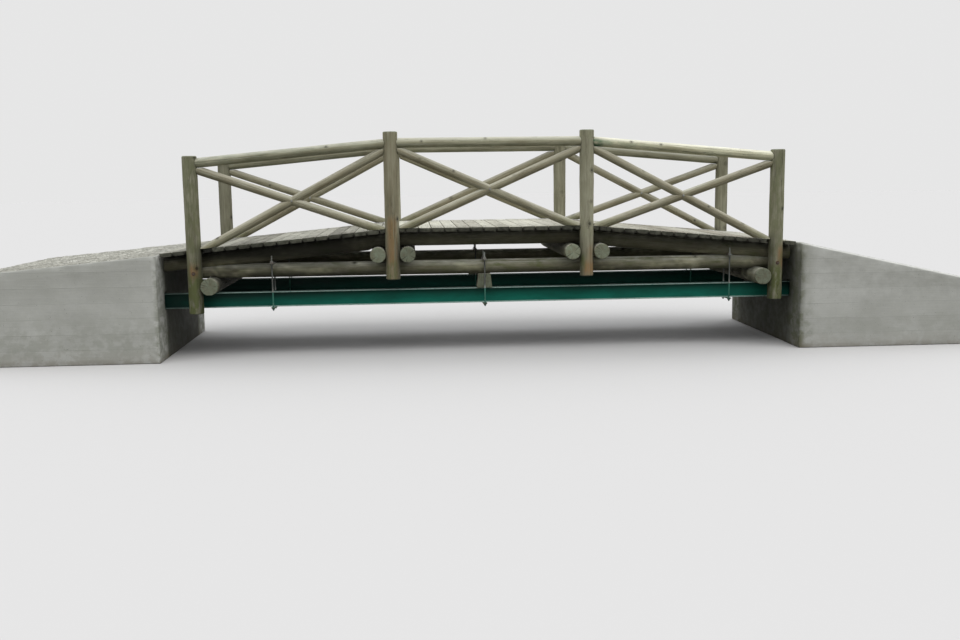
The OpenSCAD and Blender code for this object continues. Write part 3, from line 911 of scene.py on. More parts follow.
        def put(column, row):
            if row.kind == "body":
                place = along(column, row.place)
                turn = self.angle(column, place)
                away = self.reach(column, turn, place)
            else:
                at_end = row.kind == "end"
                rim = along(column, row.place)
                turn = self.angle(column, rim)
                away = self.reach_at_end(column, turn, rim) * row.share
                place = self.limit(turn, away, at_end)
                place += (-1 if at_end else 1) * self.end_relief(column, row.share, place)
            point = self.point(turn, away, place)
            grain = Vector((math.cos(turn) * away, math.sin(turn) * away, place + self.seed * 3.7))
            return point, grain, self.weather(point)

        sweep(bm, COLUMNS, self.rows(), put)

    def reach_at_end(self, column, turn, place):
        """Face distance at an end, where a split's vertex stays near the rim and goes in along the axis."""
        here = [split for split in self.splits if split.column == column]
        return self.reach(column, turn, place) + sum(s.depth * self.opening(s, place) * 0.6 for s in here)

    def end_relief(self, column, share, place):
        """How far a point of the sawn end lies back: splits and rough sawing."""
        back = 0.0006 * (1 + noise.noise(Vector((column * 0.9, share * 7, self.seed))))
        for split in self.splits:
            if split.column == column:
                back += self.opening(split, place) * split.depth * min(1.0, share * 1.4)
        return back


def round_piece(node, timbers, material):
    """One piece of one or more round timbers, in a CAD node's place."""
    bm = new_mesh()
    for timber in timbers:
        timber.add_to(bm)
    add_piece(f"{node}_timber", bm, (material, "Log end"), (node,))


# Tests for what a timber meets

def in_post(index, side):
    x, y, limit = POST_X[index], SIDES[side] * POST_Y, (POST_D / 2 + FIT) ** 2
    return lambda p: (p.x - x) ** 2 + (p.y - y) ** 2 < limit


def in_bar_y(x, z, diameter):
    limit = (diameter / 2 + FIT) ** 2
    return lambda p: (p.x - x) ** 2 + (p.z - z) ** 2 < limit


def in_bar_x(y, z, diameter):
    limit = (diameter / 2 + FIT) ** 2
    return lambda p: (p.y - y) ** 2 + (p.z - z) ** 2 < limit


def in_bar(start, end, diameter):
    axis, limit = (end - start).normalized(), (diameter / 2 + FIT) ** 2
    return lambda p: (p - start - axis * (p - start).dot(axis)).length_squared < limit


def in_clamp(p):
    """Over the flat that a lower log is dressed to under a clamp plate."""
    top = LOWER_LOG_Z + LOWER_LOG_D / 2 - DRESS
    return p.z > top and any(abs(p.x - x) < PLATE_W / 2 + FIT for x in CLAMP_X)


def in_plate_housing(p):
    """Round a clamp plate, where the underside of an end stringer is housed over it."""
    top = LOWER_LOG_Z + LOWER_LOG_D / 2 - DRESS + PLATE_T + FIT
    return p.z < top and any(abs(p.x - x) < PLATE_W / 2 + FIT for x in (CLAMP_X[0], CLAMP_X[2]))


# Weather on the timbers: brown stain, algae, and dampness with painted light and shade at a point

# A stain's stretch in height and in X beside the post's axis, and how brown and green it is
Stain = namedtuple("Stain", "low high left right brown green")
# Far enough beside the axis to go all round
ROUND = 0.2
POST_STAINS = {
    "post_near_1": (Stain(0.95, 1.12, -0.05, 0.06, 1.2, 0.0), Stain(0.30, 0.97, -ROUND, ROUND, 0.0, 1.5),
                    Stain(0.95, 2.40, -ROUND, ROUND, 0.0, 0.55)),
    "post_near_2": (Stain(1.06, 1.64, -0.055, 0.045, 0.9, 0.2), Stain(0.88, 1.12, -0.065, 0.06, 0.5, 0.95),
                    Stain(1.60, 2.70, -ROUND, ROUND, 0.14, 0.0)),
    "post_near_3": (Stain(0.93, 1.09, -0.05, ROUND, 1.0, 0.0), Stain(1.07, 1.26, 0.0, 0.065, 0.55, 0.0),
                    Stain(0.96, 1.18, -ROUND, -0.03, 0.0, 0.9)),
    "post_near_4": (Stain(0.96, 1.22, 0.0, 0.085, 0.95, 0.0), Stain(0.30, 0.99, -ROUND, ROUND, 0.0, 1.2),
                    Stain(0.95, 2.40, -ROUND, ROUND, 0.0, 0.55)),
}
# How much darker than the others a post is, as painted shade
POST_SHADES = {"post_near_1": 0.21, "post_near_2": 0.05, "post_near_3": -0.07, "post_near_4": 0.12,
               "post_far_1": 0.53, "post_far_3": 0.22, "post_far_4": 0.34}


def above(value, low, blur):
    """1 above a limit and 0 below it, with a soft change."""
    return min(1.0, max(0.0, (value - low) / blur + 0.5))


def below(value, high, blur):
    return above(-value, -high, blur)


def faded(value, low, high, blur):
    """1 between two limits and 0 outside, with soft ends."""
    return above(value, low, blur) * below(value, high, blur)


def post_weather_and_shade(name):
    stains = POST_STAINS.get(name, (Stain(0.3, 1.0, -ROUND, ROUND, 0.2, 0.6),))
    middle = middle_of(name).x
    inward = -math.copysign(1.0, middle)

    def weather(point):
        brown = green = 0.0
        for stain in stains:
            there = faded(point.z, stain.low, stain.high, 0.10)
            there *= faded(point.x - middle, stain.left, stain.right, 0.045)
            brown = max(brown, stain.brown * there)
            green = max(green, stain.green * there)
        foot = 0.25 * faded(point.z, 1.36, 1.52, 0.18)
        crown = 0.25 * above(point.z, deck_z(point.x) + RAIL_UP, 0.1)
        # The table's value is painted shade; the part below the deck is darker, and its side towards mid-span
        # darker still as painted shade
        inner = above((point.x - middle) * inward, 0.045, 0.06) * below(point.z, 1.36, 0.12)
        damp_and_shade = POST_SHADES.get(name, 0.0) + 0.16 * below(point.z, 1.35, 0.3) + 0.5 * inner
        return brown, max(green, foot, crown, 0.08), damp_and_shade
    return weather


# Stretches of the stain on the right rail: how far they reach from the post, their blur and strength
RAIL_STAINS = ((0.17, 0.14, 1.8), (0.36, 0.25, 0.62), (0.75, 0.5, 0.36))


def rail_weather_light_and_shade(point):
    """Bluish green stain on the right rail beside its inner post, film on the undersides, painted shade on
    the far rails and in the left bay, and painted light on the right bay's near rail.
    """
    lift = point.z - rail_z(point.x)
    under = 0.25 if lift < -RAIL_D * 0.2 else 0.06
    # The far rails darkened as painted shade
    if point.y > 0:
        return 0.10, under, 0.50
    stain = 0.0
    if point.x > POST_X[2]:
        stain = max(amount * below(point.x - POST_X[2], reach, blur) for reach, blur, amount in RAIL_STAINS)
    stain *= below(lift, 0.020, 0.03)
    # The left bay darker as painted shade, the right bay's near rail paler as painted light
    left = below(point.x, POST_X[1] - 0.2, 0.8)
    sunlit = above(point.x, POST_X[2] + 0.1, 0.3)
    return 0.10, max(under, stain, 0.25 * left), 0.14 * left - 0.06 - 0.80 * sunlit


def brace_weather_and_shade(point):
    low = below(point.z, deck_z(point.x) + 0.10, 0.10)
    # The far braces darkened as painted shade
    return 0.16, 0.10 + 0.3 * low, 0.26 if point.y > 0 else 0.0


def under_deck_weather_and_shade(point):
    """Timber under the deck: darker by dampness and painted shade in the middle of the bridge and in the left
    bay, by painted shade on the stringers and the logs' undersides, with paler dry patches and green ones.
    """
    inside = below(abs(point.y), POST_Y - 0.02, 0.14)
    beneath = above(point.z, LOWER_LOG_Z + 0.14, 0.08)
    underside = 0.45 * below(point.z, LOWER_LOG_Z - 0.03, 0.07)
    patch = noise.noise(Vector((point.x * 3.3, point.y * 7.0, point.z * 9.0))) + 0.5 * noise.noise(point * 19)
    dry = max(0.0, patch - 0.12) * (1.2 if point.z < LOWER_LOG_Z + 0.14 else 0.3)
    film = 0.20 + 0.10 * inside + 0.9 * max(0.0, -0.1 - patch)
    left = 0.40 * below(point.x, POST_X[1] - 0.3, 0.7)
    # Third channel: dampness and painted shade under the deck and in the left bay, less on dry patches
    return 0.05, film, inside * (0.34 + 0.52 * beneath + underside - dry) + left


def end_weather_and_shade(shade):
    """The weather and painted shade of the timber under the deck, with its near sawn end darker by so much.
    """
    def weather(point):
        brown, green, damp_and_shade = under_deck_weather_and_shade(point)
        return brown, green, damp_and_shade + shade * below(point.y, 0.04 - CROSS_LOG_L / 2, 0.03)
    return weather


# Posts, railings and logs

def make_posts():
    for side in SIDES:
        for index in range(4):
            name = f"post_{side}_{index + 1}"
            low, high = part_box(name)
            x, y = POST_X[index], SIDES[side] * POST_Y
            narrow = (0.006, 0.0) if index == 2 else (0.001, 0.001)
            timber = RoundTimber((x, y, low.z), (x, y, high.z), POST_D, seed=11 + index + 4 * (side == "far"),
                                 weather=post_weather_and_shade(name), chamfer=POST_CHAMFER, spacing=0.035,
                                 swell=0.0035, narrow=narrow)
            round_piece(name, [timber], "Post timber")


def make_handrails():
    for side in SIDES:
        y = SIDES[side] * POST_Y
        for bay, name in enumerate(BAYS):
            x0, x1 = POST_X[bay], POST_X[bay + 1]
            timber = RoundTimber((x0, y, rail_z(x0)), (x1, y, rail_z(x1)), RAIL_D,
                                 seed=31 + bay + 3 * (side == "far"),
                                 cuts=(in_post(bay, side), in_post(bay + 1, side)), weather=rail_weather_light_and_shade,
                                 splits=3, swell=0.002)
            round_piece(f"rail_{side}_{name}", [timber], "Rail timber")


def brace_line(x_top, x_foot, y):
    """Start and end of a brace's uncut bar, from below the rail to below the deck's face."""
    run = math.copysign(1.0, x_foot - x_top)
    top = Vector((x_top, y, rail_z(x_top) - BRACE_DROP))
    x_low = x_foot - run * BRACE_FOOT
    foot = Vector((x_low, y, deck_z(x_low)))
    return top, foot + (foot - top).normalized() * 2 * BRACE_D


def crossing(first, second):
    """Point where two lines of one upright plane cross, each given by its two ends."""
    (a, b), (c, d) = first, second
    along, other, gap = b - a, d - c, c - a
    share = (gap.x * other.z - gap.z * other.x) / (along.x * other.z - along.z * other.x)
    return a + along * share


def brace_lines(bay, side):
    """The whole brace and the halved one of a bay. From outside, the whole one falls to the right."""
    y = SIDES[side] * POST_Y
    left, right = POST_X[bay], POST_X[bay + 1]
    top, foot = (left, right) if side == "near" else (right, left)
    return brace_line(top, foot, y), brace_line(foot, top, y)


def make_braces():
    def over_rail(p):
        return p.z > rail_z(p.x) - RAIL_D / 2 - FIT

    def under_deck(p):
        return p.z < deck_z(p.x)

    for side in SIDES:
        for bay, name in enumerate(BAYS):
            whole, halved = brace_lines(bay, side)
            middle = crossing(whole, halved)
            cuts = (in_post(bay, side), in_post(bay + 1, side), over_rail, under_deck)
            seed = 51 + 4 * bay + 12 * (side == "far")
            common = {"diameter": BRACE_D, "weather": brace_weather_and_shade, "splits": 2, "spacing": 0.045}
            timbers = [RoundTimber(*whole, seed=seed, cuts=cuts, **common)]
            cuts = (*cuts, in_bar(*whole, BRACE_D))
            timbers.append(RoundTimber(halved[0], middle, seed=seed + 1, cuts=cuts, **common))
            timbers.append(RoundTimber(middle, halved[1], seed=seed + 2, cuts=cuts, **common))
            round_piece(f"braces_{side}_{name}", timbers, "Brace timber")


def deck_line(x):
    """The end bay's deck line carried on both ways."""
    return DECK_TOP - (abs(x) - POST_X[2]) * DECK_FALL


def seat_line(x):
    """The plane on which an end stringer and the lower log meet."""
    return deck_line(x) - DECK_T - END_STRINGER_D + DRESS + STRINGER_DRESS


SEAT_X = POST_X[2] + (seat_line(POST_X[2]) - LOWER_LOG_Z - LOWER_LOG_D / 2) / DECK_FALL


def make_stringers():
    def over_boards(p):
        return p.z > deck_z(p.x) - DECK_T

    def under_seat(p):
        return abs(p.x) > SEAT_X and p.z < seat_line(p.x)

    for side in SIDES:
        y = SIDES[side] * LOG_Y
        low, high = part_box(f"stringer_{side}_mid")
        z = low.z + MID_STRINGER_D / 2
        logs = [POST_X[1] + CROSS_LOG_OFF, POST_X[2] - CROSS_LOG_OFF]
        notches = (over_boards, *(in_bar_y(x, CROSS_LOG_Z, CROSS_LOG_D) for x in logs))
        timber = RoundTimber((low.x, y, z), (high.x, y, z), MID_STRINGER_D, seed=81 + (side == "far"),
                             notches=notches, weather=under_deck_weather_and_shade,
                             close_rows=[(x - low.x, 0.05) for x in logs])
        round_piece(f"stringer_{side}_mid", [timber], "Log timber")
        for name, way in (("left", -1), ("right", 1)):
            low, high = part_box(f"stringer_{side}_{name}")
            inner, outer = sorted((low.x, high.x), key=abs)
            drop = DECK_T + END_STRINGER_D / 2 - DRESS
            log_x, clamp_x = way * (POST_X[2] + CROSS_LOG_OFF), CLAMP_X[0 if way < 0 else 2]
            notches = (over_boards, under_seat, in_plate_housing, in_bar_y(log_x, CROSS_LOG_Z, CROSS_LOG_D))
            spare = 0.05
            start_x, end_x = inner - way * spare, outer + way * spare
            cuts = (lambda p, a=inner, w=way: (p.x - a) * w < 0, lambda p, b=outer, w=way: (p.x - b) * w > 0)
            close = [(abs(log_x - start_x), 0.05), (abs(clamp_x - start_x), 0.042)]
            timber = RoundTimber((start_x, y, deck_line(start_x) - drop), (end_x, y, deck_line(end_x) - drop),
                                 END_STRINGER_D, seed=84 + way + 3 * (side == "far"), cuts=cuts,
                                 notches=notches, weather=under_deck_weather_and_shade, close_rows=close)
            round_piece(f"stringer_{side}_{name}", [timber], "Log timber")


def make_lower_logs():
    block_half = size_of("mid_span_blocks").x / 2

    def over_seat(p):
        return abs(p.x) > SEAT_X and p.z > seat_line(p.x)

    def on_block(p):
        return abs(p.x - BLOCK_X) < block_half and p.z < LOWER_LOG_Z - LOWER_LOG_D / 2 + DRESS

    for side in SIDES:
        y = SIDES[side] * LOG_Y
        low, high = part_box(f"lower_log_{side}")
        notches = (over_seat, on_block, in_clamp, in_bar_y(END_LOG_X, END_LOG_Z, END_LOG_D),
                   in_bar_y(-END_LOG_X, END_LOG_Z, END_LOG_D))
        close = [(x - low.x, 0.09) for x in (-END_LOG_X, END_LOG_X)]
        close += [(x - low.x, 0.045) for x in CLAMP_X]
        timber = RoundTimber((low.x, y, LOWER_LOG_Z), (high.x, y, LOWER_LOG_Z), LOWER_LOG_D,
                             seed=91 + (side == "far"), notches=notches, weather=under_deck_weather_and_shade,
                             close_rows=close, splits=5, swell=0.003)
        round_piece(f"lower_log_{side}", [timber], "Log timber")


def make_cross_logs():
    half = CROSS_LOG_L / 2
    lower_logs = [in_bar_x(s * LOG_Y, LOWER_LOG_Z, LOWER_LOG_D) for s in (-1, 1)]
    close = [(half + s * LOG_Y, 0.06) for s in (-1, 1)] + [(half + s * POST_Y, 0.05) for s in (-1, 1)]
    for index, name, shades in ((1, "cross_logs_left_post", (0.0, 0.45)),
                                (2, "cross_logs_right_post", (-0.3, 0.1))):
        timbers = []
        for way, shade in zip((-1, 1), shades):
            x = POST_X[index] + way * CROSS_LOG_OFF
            notches = (*lower_logs, in_post(index, "near"), in_post(index, "far"))
            timbers.append(RoundTimber((x, -half, CROSS_LOG_Z), (x, half, CROSS_LOG_Z), CROSS_LOG_D,
                                       seed=100 + 2 * index + way, notches=notches,
                                       weather=end_weather_and_shade(shade), close_rows=close))
        round_piece(name, timbers, "Log timber")
    close = [(half + s * POST_Y, 0.06) for s in (-1, 1)]
    for index, way, name, shade in ((0, -1, "cross_log_left_end", 0.0), (3, 1, "cross_log_right_end", 0.5)):
        notches = (lambda p: p.z < BEAM_TOP, in_post(index, "near"), in_post(index, "far"))
        x = way * END_LOG_X
        timber = RoundTimber((x, -half, END_LOG_Z), (x, half, END_LOG_Z), END_LOG_D, seed=110 + way,
                             notches=notches, weather=end_weather_and_shade(shade), close_rows=close)
        round_piece(name, [timber], "Log timber")


# Deck boards

Dirt = namedtuple("Dirt", "spread base brown")
# How much the boards of a bay differ in dirt, how dark they all are, which in the left bay is painted shade,
# and how brown
DECK_DIRT_AND_SHADE = {"left": Dirt(0.50, 0.50, 0.1), "mid": Dirt(0.40, -0.02, 0.1), "right": Dirt(0.60, 0.24, 0.40)}
BOARD_EASE = 0.004
BOARD_ROWS = 18
# Room over a board for its cupping, and the depth of its worn ends
BOARD_SPARE = 0.003
BOARD_END = 0.003
NAIL_OFF = 0.036
NAIL_H = 0.003
NAIL_SUNK = 0.0022


def board_section(width, thickness, wane):
    """Points of the oblong across a board, eased above and waney below, with extra ones along its flats."""
    bm = bmesh.new()
    verts = in_order(bmesh.ops.create_circle(bm, segments=4, radius=1.0)["verts"])
    for vert, (x, y) in zip(verts, ((1, 1), (-1, 1), (-1, -1), (1, -1))):
        vert.co = (x * width / 2, y * thickness / 2, 0.0)
    bevel(bm, verts[2:], "VERTICES", wane, 4)
    bevel(bm, [vert for vert in bm.verts if vert.co.y > thickness * 0.49], "VERTICES", BOARD_EASE, 2)
    flats = [edge for edge in bm.edges if edge.calc_length() > width / 2]
    bmesh.ops.subdivide_edges(bm, edges=flats, cuts=9)
    return section_of(bm)


def add_board(bm, x, width, random, dirt):
    """One board across the deck, cut round the posts that stand in its way."""
    slope = math.atan(DECK_FALL) * -math.copysign(1.0, x) if abs(x) > POST_X[2] else 0.0
    along_x = Vector((math.cos(slope), 0.0, math.sin(slope)))
    up = Vector((-math.sin(slope), 0.0, math.cos(slope)))
    centre = Vector((x, 0.0, deck_z(x))) - up * (DECK_T / 2)
    sunk = random.uniform(0.0, 0.0015)
    cup = random.uniform(-0.0012, 0.0015)
    tilt = random.uniform(-0.006, 0.006)
    ends = {side: DECK_W / 2 - random.uniform(0.0, 0.006) for side in (-1, 1)}
    tone = random.random()
    seed = random.uniform(0, 50)
    thickness = DECK_T - BOARD_SPARE
    wane = bpy.context.scene.footbridge_timber.board_wane * random.uniform(0.7, 1.15)
    section = board_section(width, thickness, wane)
    clear = POST_D / 2 + POST_GAP
    shares = (0.1, 0.5, 0.8, 0.97)
    rows = [Row("start", share, -1.0) for share in shares]
    rows += [Row("body", 1.0, -1 + 2 * i / BOARD_ROWS) for i in range(BOARD_ROWS + 1)]
    rows += [Row("end", share, 1.0) for share in reversed(shares)]

    def end_of(side, at_x):
        reach = ends[side]
        for post in POST_X:
            away = abs(at_x - post)
            if away < clear:
                reach = min(reach, POST_Y - math.sqrt(clear ** 2 - away ** 2))
        return reach

    def weather(spot, point, on_end):
        edge = above(abs(point.y), DECK_W / 2 - 0.16, 0.25)
        if on_end:
            # The ends: darker all over by dirt, and towards their lower corners by painted shade
            low = 0.5 - spot.y / thickness
            corner = above(abs(spot.x), width * 0.44, width * 0.12)
            damp_and_shade = 0.32 + 0.55 * tone + 1.1 * corner * low + 0.45 * low
        # The lower sides and the underside, darkened as painted shade between and under the boards
        elif spot.y < thickness * 0.3:
            damp_and_shade = 1.15
        else:
            blotch = noise.noise(Vector((point.x * 2.6, point.y * 4.5, seed))) + 0.6 * noise.noise(point * 13)
            damp_and_shade = max(0.0, dirt.spread * (tone - 0.35)) + dirt.base + 0.28 * max(-0.5, blotch)
        return dirt.brown * tone, 0.08 + 0.22 * edge * tone, damp_and_shade

    def put(column, row):
        spot = section[column] * row.share
        on_end = row.kind != "body"
        eased = 0.0 if on_end or abs(row.place) != 1 else BOARD_END
        y = row.place * (end_of(-1 if row.place < 0 else 1, x + section[column].x * along_x.x) - eased)
        bend = cup * (1 - (2 * spot.x / width) ** 2) + tilt * spot.x - sunk
        if spot.y > 0:
            bend -= 0.0012 * (1 + noise.noise(Vector((seed, y * 1.7, spot.x * 9))))
        point = centre + along_x * spot.x + up * (spot.y + bend) + Vector((0, y, 0))
        return point, Vector((spot.x, spot.y + seed, y + seed)), weather(spot, point, on_end)

    sweep(bm, len(section), rows, put)


def add_nail(bm, x, y):
    """Flat nail head, driven just below the board's face."""
    nail_r = bpy.context.scene.footbridge_timber.nail_d / 2
    bmesh.ops.create_cone(bm, cap_ends=True, segments=10, radius1=nail_r, radius2=nail_r - 0.001,
                          depth=NAIL_H, matrix=Matrix.Translation((x, y, deck_z(x) - NAIL_SUNK)))


def make_deck():
    settings = bpy.context.scene.footbridge_timber
    for bay in BAYS:
        name = f"deck_{bay}"
        low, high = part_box(name)
        count = round((high.x - low.x) / settings.board_pitch)
        pitch = (high.x - low.x + settings.board_gap) / count
        random = Random(f"boards {bay}")
        boards, nails = new_mesh(), new_mesh()
        for index in range(count):
            x = low.x - settings.board_gap / 2 + pitch * (index + 0.5)
            add_board(boards, x, pitch - settings.board_gap, random, DECK_DIRT_AND_SHADE[bay])
            for y in (-LOG_Y, LOG_Y):
                for off in (-NAIL_OFF, NAIL_OFF):
                    add_nail(nails, x + off + random.uniform(-0.004, 0.004), y + random.uniform(-0.02, 0.02))
        add_piece(f"boards_{bay}", boards, ("Board timber", "Board end"), (name,))
        add_piece(f"nails_{bay}", nails, ("Nail steel",))


# Steel

THREAD_PITCH = 0.0025
THREAD_DEPTH = 0.0014
WASHER_T = 0.003
# How far washers are let into the round timber under them
BEDDED = 0.003


def flat_weather(*values):
    return lambda point: values


def add_plate(bm, centre, size, ease, weather):
    """Flat steel plate with eased edges."""
    part = new_mesh()
    place = Matrix.Translation(centre) @ Matrix.Diagonal((*size, 1.0))
    bmesh.ops.create_cube(part, size=1.0, matrix=place)
    bevel(part, part.edges[:], "EDGES", ease, 2)
    paint_weather(part, weather)
    join(bm, part)


def paint_weather(bm, weather):
    layer = layers_of(bm)[3]
    for vert in bm.verts:
        vert[layer] = (*weather(vert.co), 1.0)


def beam_section(low, high):
    """Points of the I section between two heights."""
    web, tip = WEB_T / 2, BEAM_B / 2
    corners = [(tip, low), (tip, low + FLANGE_T), (web, low + FLANGE_T), (web, high - FLANGE_T),
               (tip, high - FLANGE_T), (tip, high)]
    corners += [(-across, z) for across, z in reversed(corners)]
    bm = bmesh.new()
    loop = in_order(bmesh.ops.create_circle(bm, segments=len(corners), radius=1.0)["verts"])
    for vert, (across, z) in zip(loop, corners):
        vert.co = (across, z, 0.0)
    bevel(bm, [vert for vert in loop if abs(vert.co.x) < tip / 2], "VERTICES", ROOT_R, 4)
    bevel(bm, [vert for vert in bm.verts if abs(vert.co.x) > tip - 0.0001], "VERTICES", TIP_R, 2)
    flats = [edge for edge in bm.edges if edge.calc_length() > BEAM_B * 0.6]
    bmesh.ops.subdivide_edges(bm, edges=flats, cuts=3)
    return section_of(bm)


def make_steel_beams():
    """Rolled I sections, with root fillets, eased flange tips and rows for the paint's wear and for painted
    shade.
    """
    for side in SIDES:
        low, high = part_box(f"steel_beam_{side}")
        y = (low.y + high.y) / 2
        bm = new_mesh()
        section = beam_section(low.z, high.z)
        count = 40
        rows = [Row("body", 1.0, low.x + (high.x - low.x) * i / count) for i in range(count + 1)]

        def put(column, row):
            spot = section[column]
            point = Vector((row.place, y + spot.x, spot.y))
            # Flange tips paler: worn paint, partly a painted highlight
            edge = 1.0 if abs(abs(spot.x) - BEAM_B / 2) < 0.003 else 0.0
            rise = (spot.y - low.z) / (high.z - low.z)
            beyond = above(abs(row.place), POST_X[3] + 0.05, 0.25)
            # Painted shade: both beams under the deck, the far one more, the web below the top flange, the
            # left end, and beyond the end posts, where the tips are darkened too
            damp_and_shade = (0.35 if y < 0 else 0.8) + 0.85 * above(rise, 0.62, 0.6)
            damp_and_shade = min(1.45, damp_and_shade + 0.5 * below(row.place, -2.2, 1.2) + 0.6 * beyond)
            return point, point, (edge, 0.0, 1.1 * beyond if edge else damp_and_shade)

        sweep(bm, len(section), rows, put, caps=0)
        add_piece(f"steel_beam_{side}_painted", bm, ("Green paint",), (f"steel_beam_{side}",))


def prism(centre, axis, diameter, height, sides):
    """A prism of so many sides, in a mesh of its own."""
    turn = Vector((0, 0, 1)).rotation_difference(Vector(axis)).to_matrix().to_4x4()
    part = new_mesh()
    bmesh.ops.create_cone(part, cap_ends=True, segments=sides, radius1=diameter / 2, radius2=diameter / 2,
                          depth=height, matrix=Matrix.Translation(centre) @ turn)
    return part


def add_nut(bm, centre, axis, diameter, height):
    """Hexagon nut or bolt head with its corners eased."""
    part = prism(centre, axis, diameter, height, 6)
    bevel(part, part.verts[:], "VERTICES", diameter * 0.07, 1)
    paint_weather(part, flat_weather(0.3, 0.45, 0.4))
    join(bm, part)


def add_washer(bm, centre, axis, diameter):
    """Round washer with an eased rim."""
    part = prism(centre, axis, diameter, WASHER_T, 28)
    bevel(part, [edge for edge in part.edges if max(len(face.verts) for face in edge.link_faces) > 4],
          "EDGES", 0.0008, 1)
    paint_weather(part, flat_weather(0.2, 0.55, 0.4))
    join(bm, part)


def add_threaded_bar(bm, start, end, diameter, threads, weather=flat_weather(0.2, 0.08, 0.0)):
    """Round bar between two points; threads are stretches, as (from, to), that carry a thread."""
    start, end = Vector(start), Vector(end)
    axis = (end - start).normalized()
    across = axis.orthogonal().normalized()
    up = axis.cross(across)
    total, radius, sides = (end - start).length, diameter / 2, 14
    chamfer, spacing = 0.001, 0.02
    places = {0.0: radius - chamfer, chamfer: radius, total - chamfer: radius, total: radius - chamfer}
    for index in range(1, int(total / spacing)):
        if not any(low <= index * spacing <= high for low, high in threads):
            places[index * spacing] = radius
    for low, high in threads:
        first = low + 0.0012
        for index in range(int((high - low) / THREAD_PITCH)):
            places[first + index * THREAD_PITCH] = radius
            places[first + (index + 0.5) * THREAD_PITCH] = radius - THREAD_DEPTH
    rows = [Row("start", 0.5, 0.0)]
    rows += [Row("body", reach / radius, place) for place, reach in sorted(places.items())]
    rows += [Row("end", 0.5, total)]

    def put(column, row):
        turn = math.tau * column / sides
        away = radius * row.share
        point = start + axis * row.place + (across * math.cos(turn) + up * math.sin(turn)) * away
        return point, point, weather(point)

    sweep(bm, sides, rows, put, caps=0)


def make_log_clamps():
    """Plate over the lower log and plate under the beam, drawn together by two threaded rods.

    What is level with the beam was painted with it.
    """
    steel = bpy.context.scene.footbridge_steel
    log_top = LOWER_LOG_Z + LOWER_LOG_D / 2 - DRESS
    plate_top, plate_low = log_top + PLATE_T, BEAM_LOW - PLATE_T
    low, high = plate_low - ROD_DOWN, plate_top + ROD_UP
    threads = ((0.0, 0.09), (high - low - 0.16, high - low - 0.003))
    up = (0, 0, 1)

    def rod_weather(point):
        painted = below(point.z, BEAM_TOP, 0.02)
        beside_log = faded(point.z, BEAM_TOP + 0.02, log_top, 0.06)
        return 0.25 - 0.1 * painted, 0.25 - 0.2 * painted, 1.2 * beside_log

    for side in SIDES:
        bm = new_mesh()
        y_mid = SIDES[side] * LOG_Y
        for x in CLAMP_X:
            for z in (log_top + PLATE_T / 2, BEAM_LOW - PLATE_T / 2):
                add_plate(bm, (x, y_mid, z), (PLATE_W, 2 * ROD_OFF + PLATE_W, PLATE_T), 0.0015,
                          flat_weather(0.2, 0.75, 0.5))
            for y in (y_mid - ROD_OFF, y_mid + ROD_OFF):
                add_threaded_bar(bm, (x, y, low), (x, y, high), ROD_D, threads, rod_weather)
                add_washer(bm, (x, y, plate_top + WASHER_T / 2), up, steel.rod_washer_d)
                for z in (plate_top + WASHER_T + steel.nut_h / 2, plate_low - steel.nut_h / 2):
                    add_nut(bm, (x, y, z), up, steel.nut_d, steel.nut_h)
        for face in bm.faces:
            face.material_index = int(face.calc_center_median().z < BEAM_TOP)
        add_piece(f"log_clamps_{side}_zinc", bm, ("Galvanised steel", "Green paint"),
                  (f"log_clamps_{side}",), 30.0)


def add_through_bolt(bm, first, second, diameter):
    """Bolt through timbers between two faces, with a washer and nut at each end."""
    first, second = Vector(first), Vector(second)
    axis = (second - first).normalized()
    nut_h = diameter * 0.8
    tail = 0.009 + nut_h
    add_threaded_bar(bm, first - axis * tail, second + axis * tail, diameter, ((0.0, tail), ))
    for point, way in ((first, -1), (second, 1)):
        add_washer(bm, point + axis * way * WASHER_T / 2, axis, diameter * 2.8)
        add_nut(bm, point + axis * way * (WASHER_T + nut_h / 2), axis, diameter * 1.7, nut_h)


def make_bolts():
    """Through bolts: end posts to lower logs, and braces at their crossings."""
    steel = bpy.context.scene.footbridge_steel
    bm = new_mesh()
    outer, inner = POST_Y + POST_D / 2 - BEDDED, LOG_Y - LOWER_LOG_D / 2 + BEDDED
    for x in (POST_X[0], POST_X[3]):
        for way in (-1, 1):
            add_through_bolt(bm, (x, way * outer, LOWER_LOG_Z), (x, way * inner, LOWER_LOG_Z), steel.bolt_d)
    add_piece("bolts_end_posts", bm, ("Rusty steel",), sharp=30.0)
    bm = new_mesh()
    off = Vector((0, BRACE_D / 2 - BEDDED, 0))
    for side in SIDES:
        for bay in range(3):
            middle = crossing(*brace_lines(bay, side))
            add_through_bolt(bm, middle - off, middle + off, steel.brace_bolt_d)
    add_piece("bolts_braces", bm, ("Galvanised steel",), sharp=30.0)


# Blocks and concrete

def copy_of_node(name):
    """A merged copy of a CAD node's mesh, with its flat faces made whole."""
    bm = new_mesh(name)
    bmesh.ops.remove_doubles(bm, verts=bm.verts, dist=0.0005)
    bmesh.ops.dissolve_degenerate(bm, dist=0.0005, edges=bm.edges)
    bmesh.ops.recalc_face_normals(bm, faces=bm.faces)
    bmesh.ops.dissolve_limit(bm, angle_limit=math.radians(1.0), verts=bm.verts, edges=bm.edges)
    return bm


def ease_edges(bm, offset, segments, joint=None):
    """Rounds the sharp edges, but not those that lie in a joint between wall and slab."""
    def in_joint(point):
        return joint is not None and abs(point.z - joint(point.x)) < 0.001

    edges = [edge for edge in bm.edges if len(edge.link_faces) == 2
             and edge.calc_face_angle() > math.radians(30.0)
             and not all(in_joint(vert.co) for vert in edge.verts)]
    bevel(bm, edges, "EDGES", offset, segments, clamp=True)


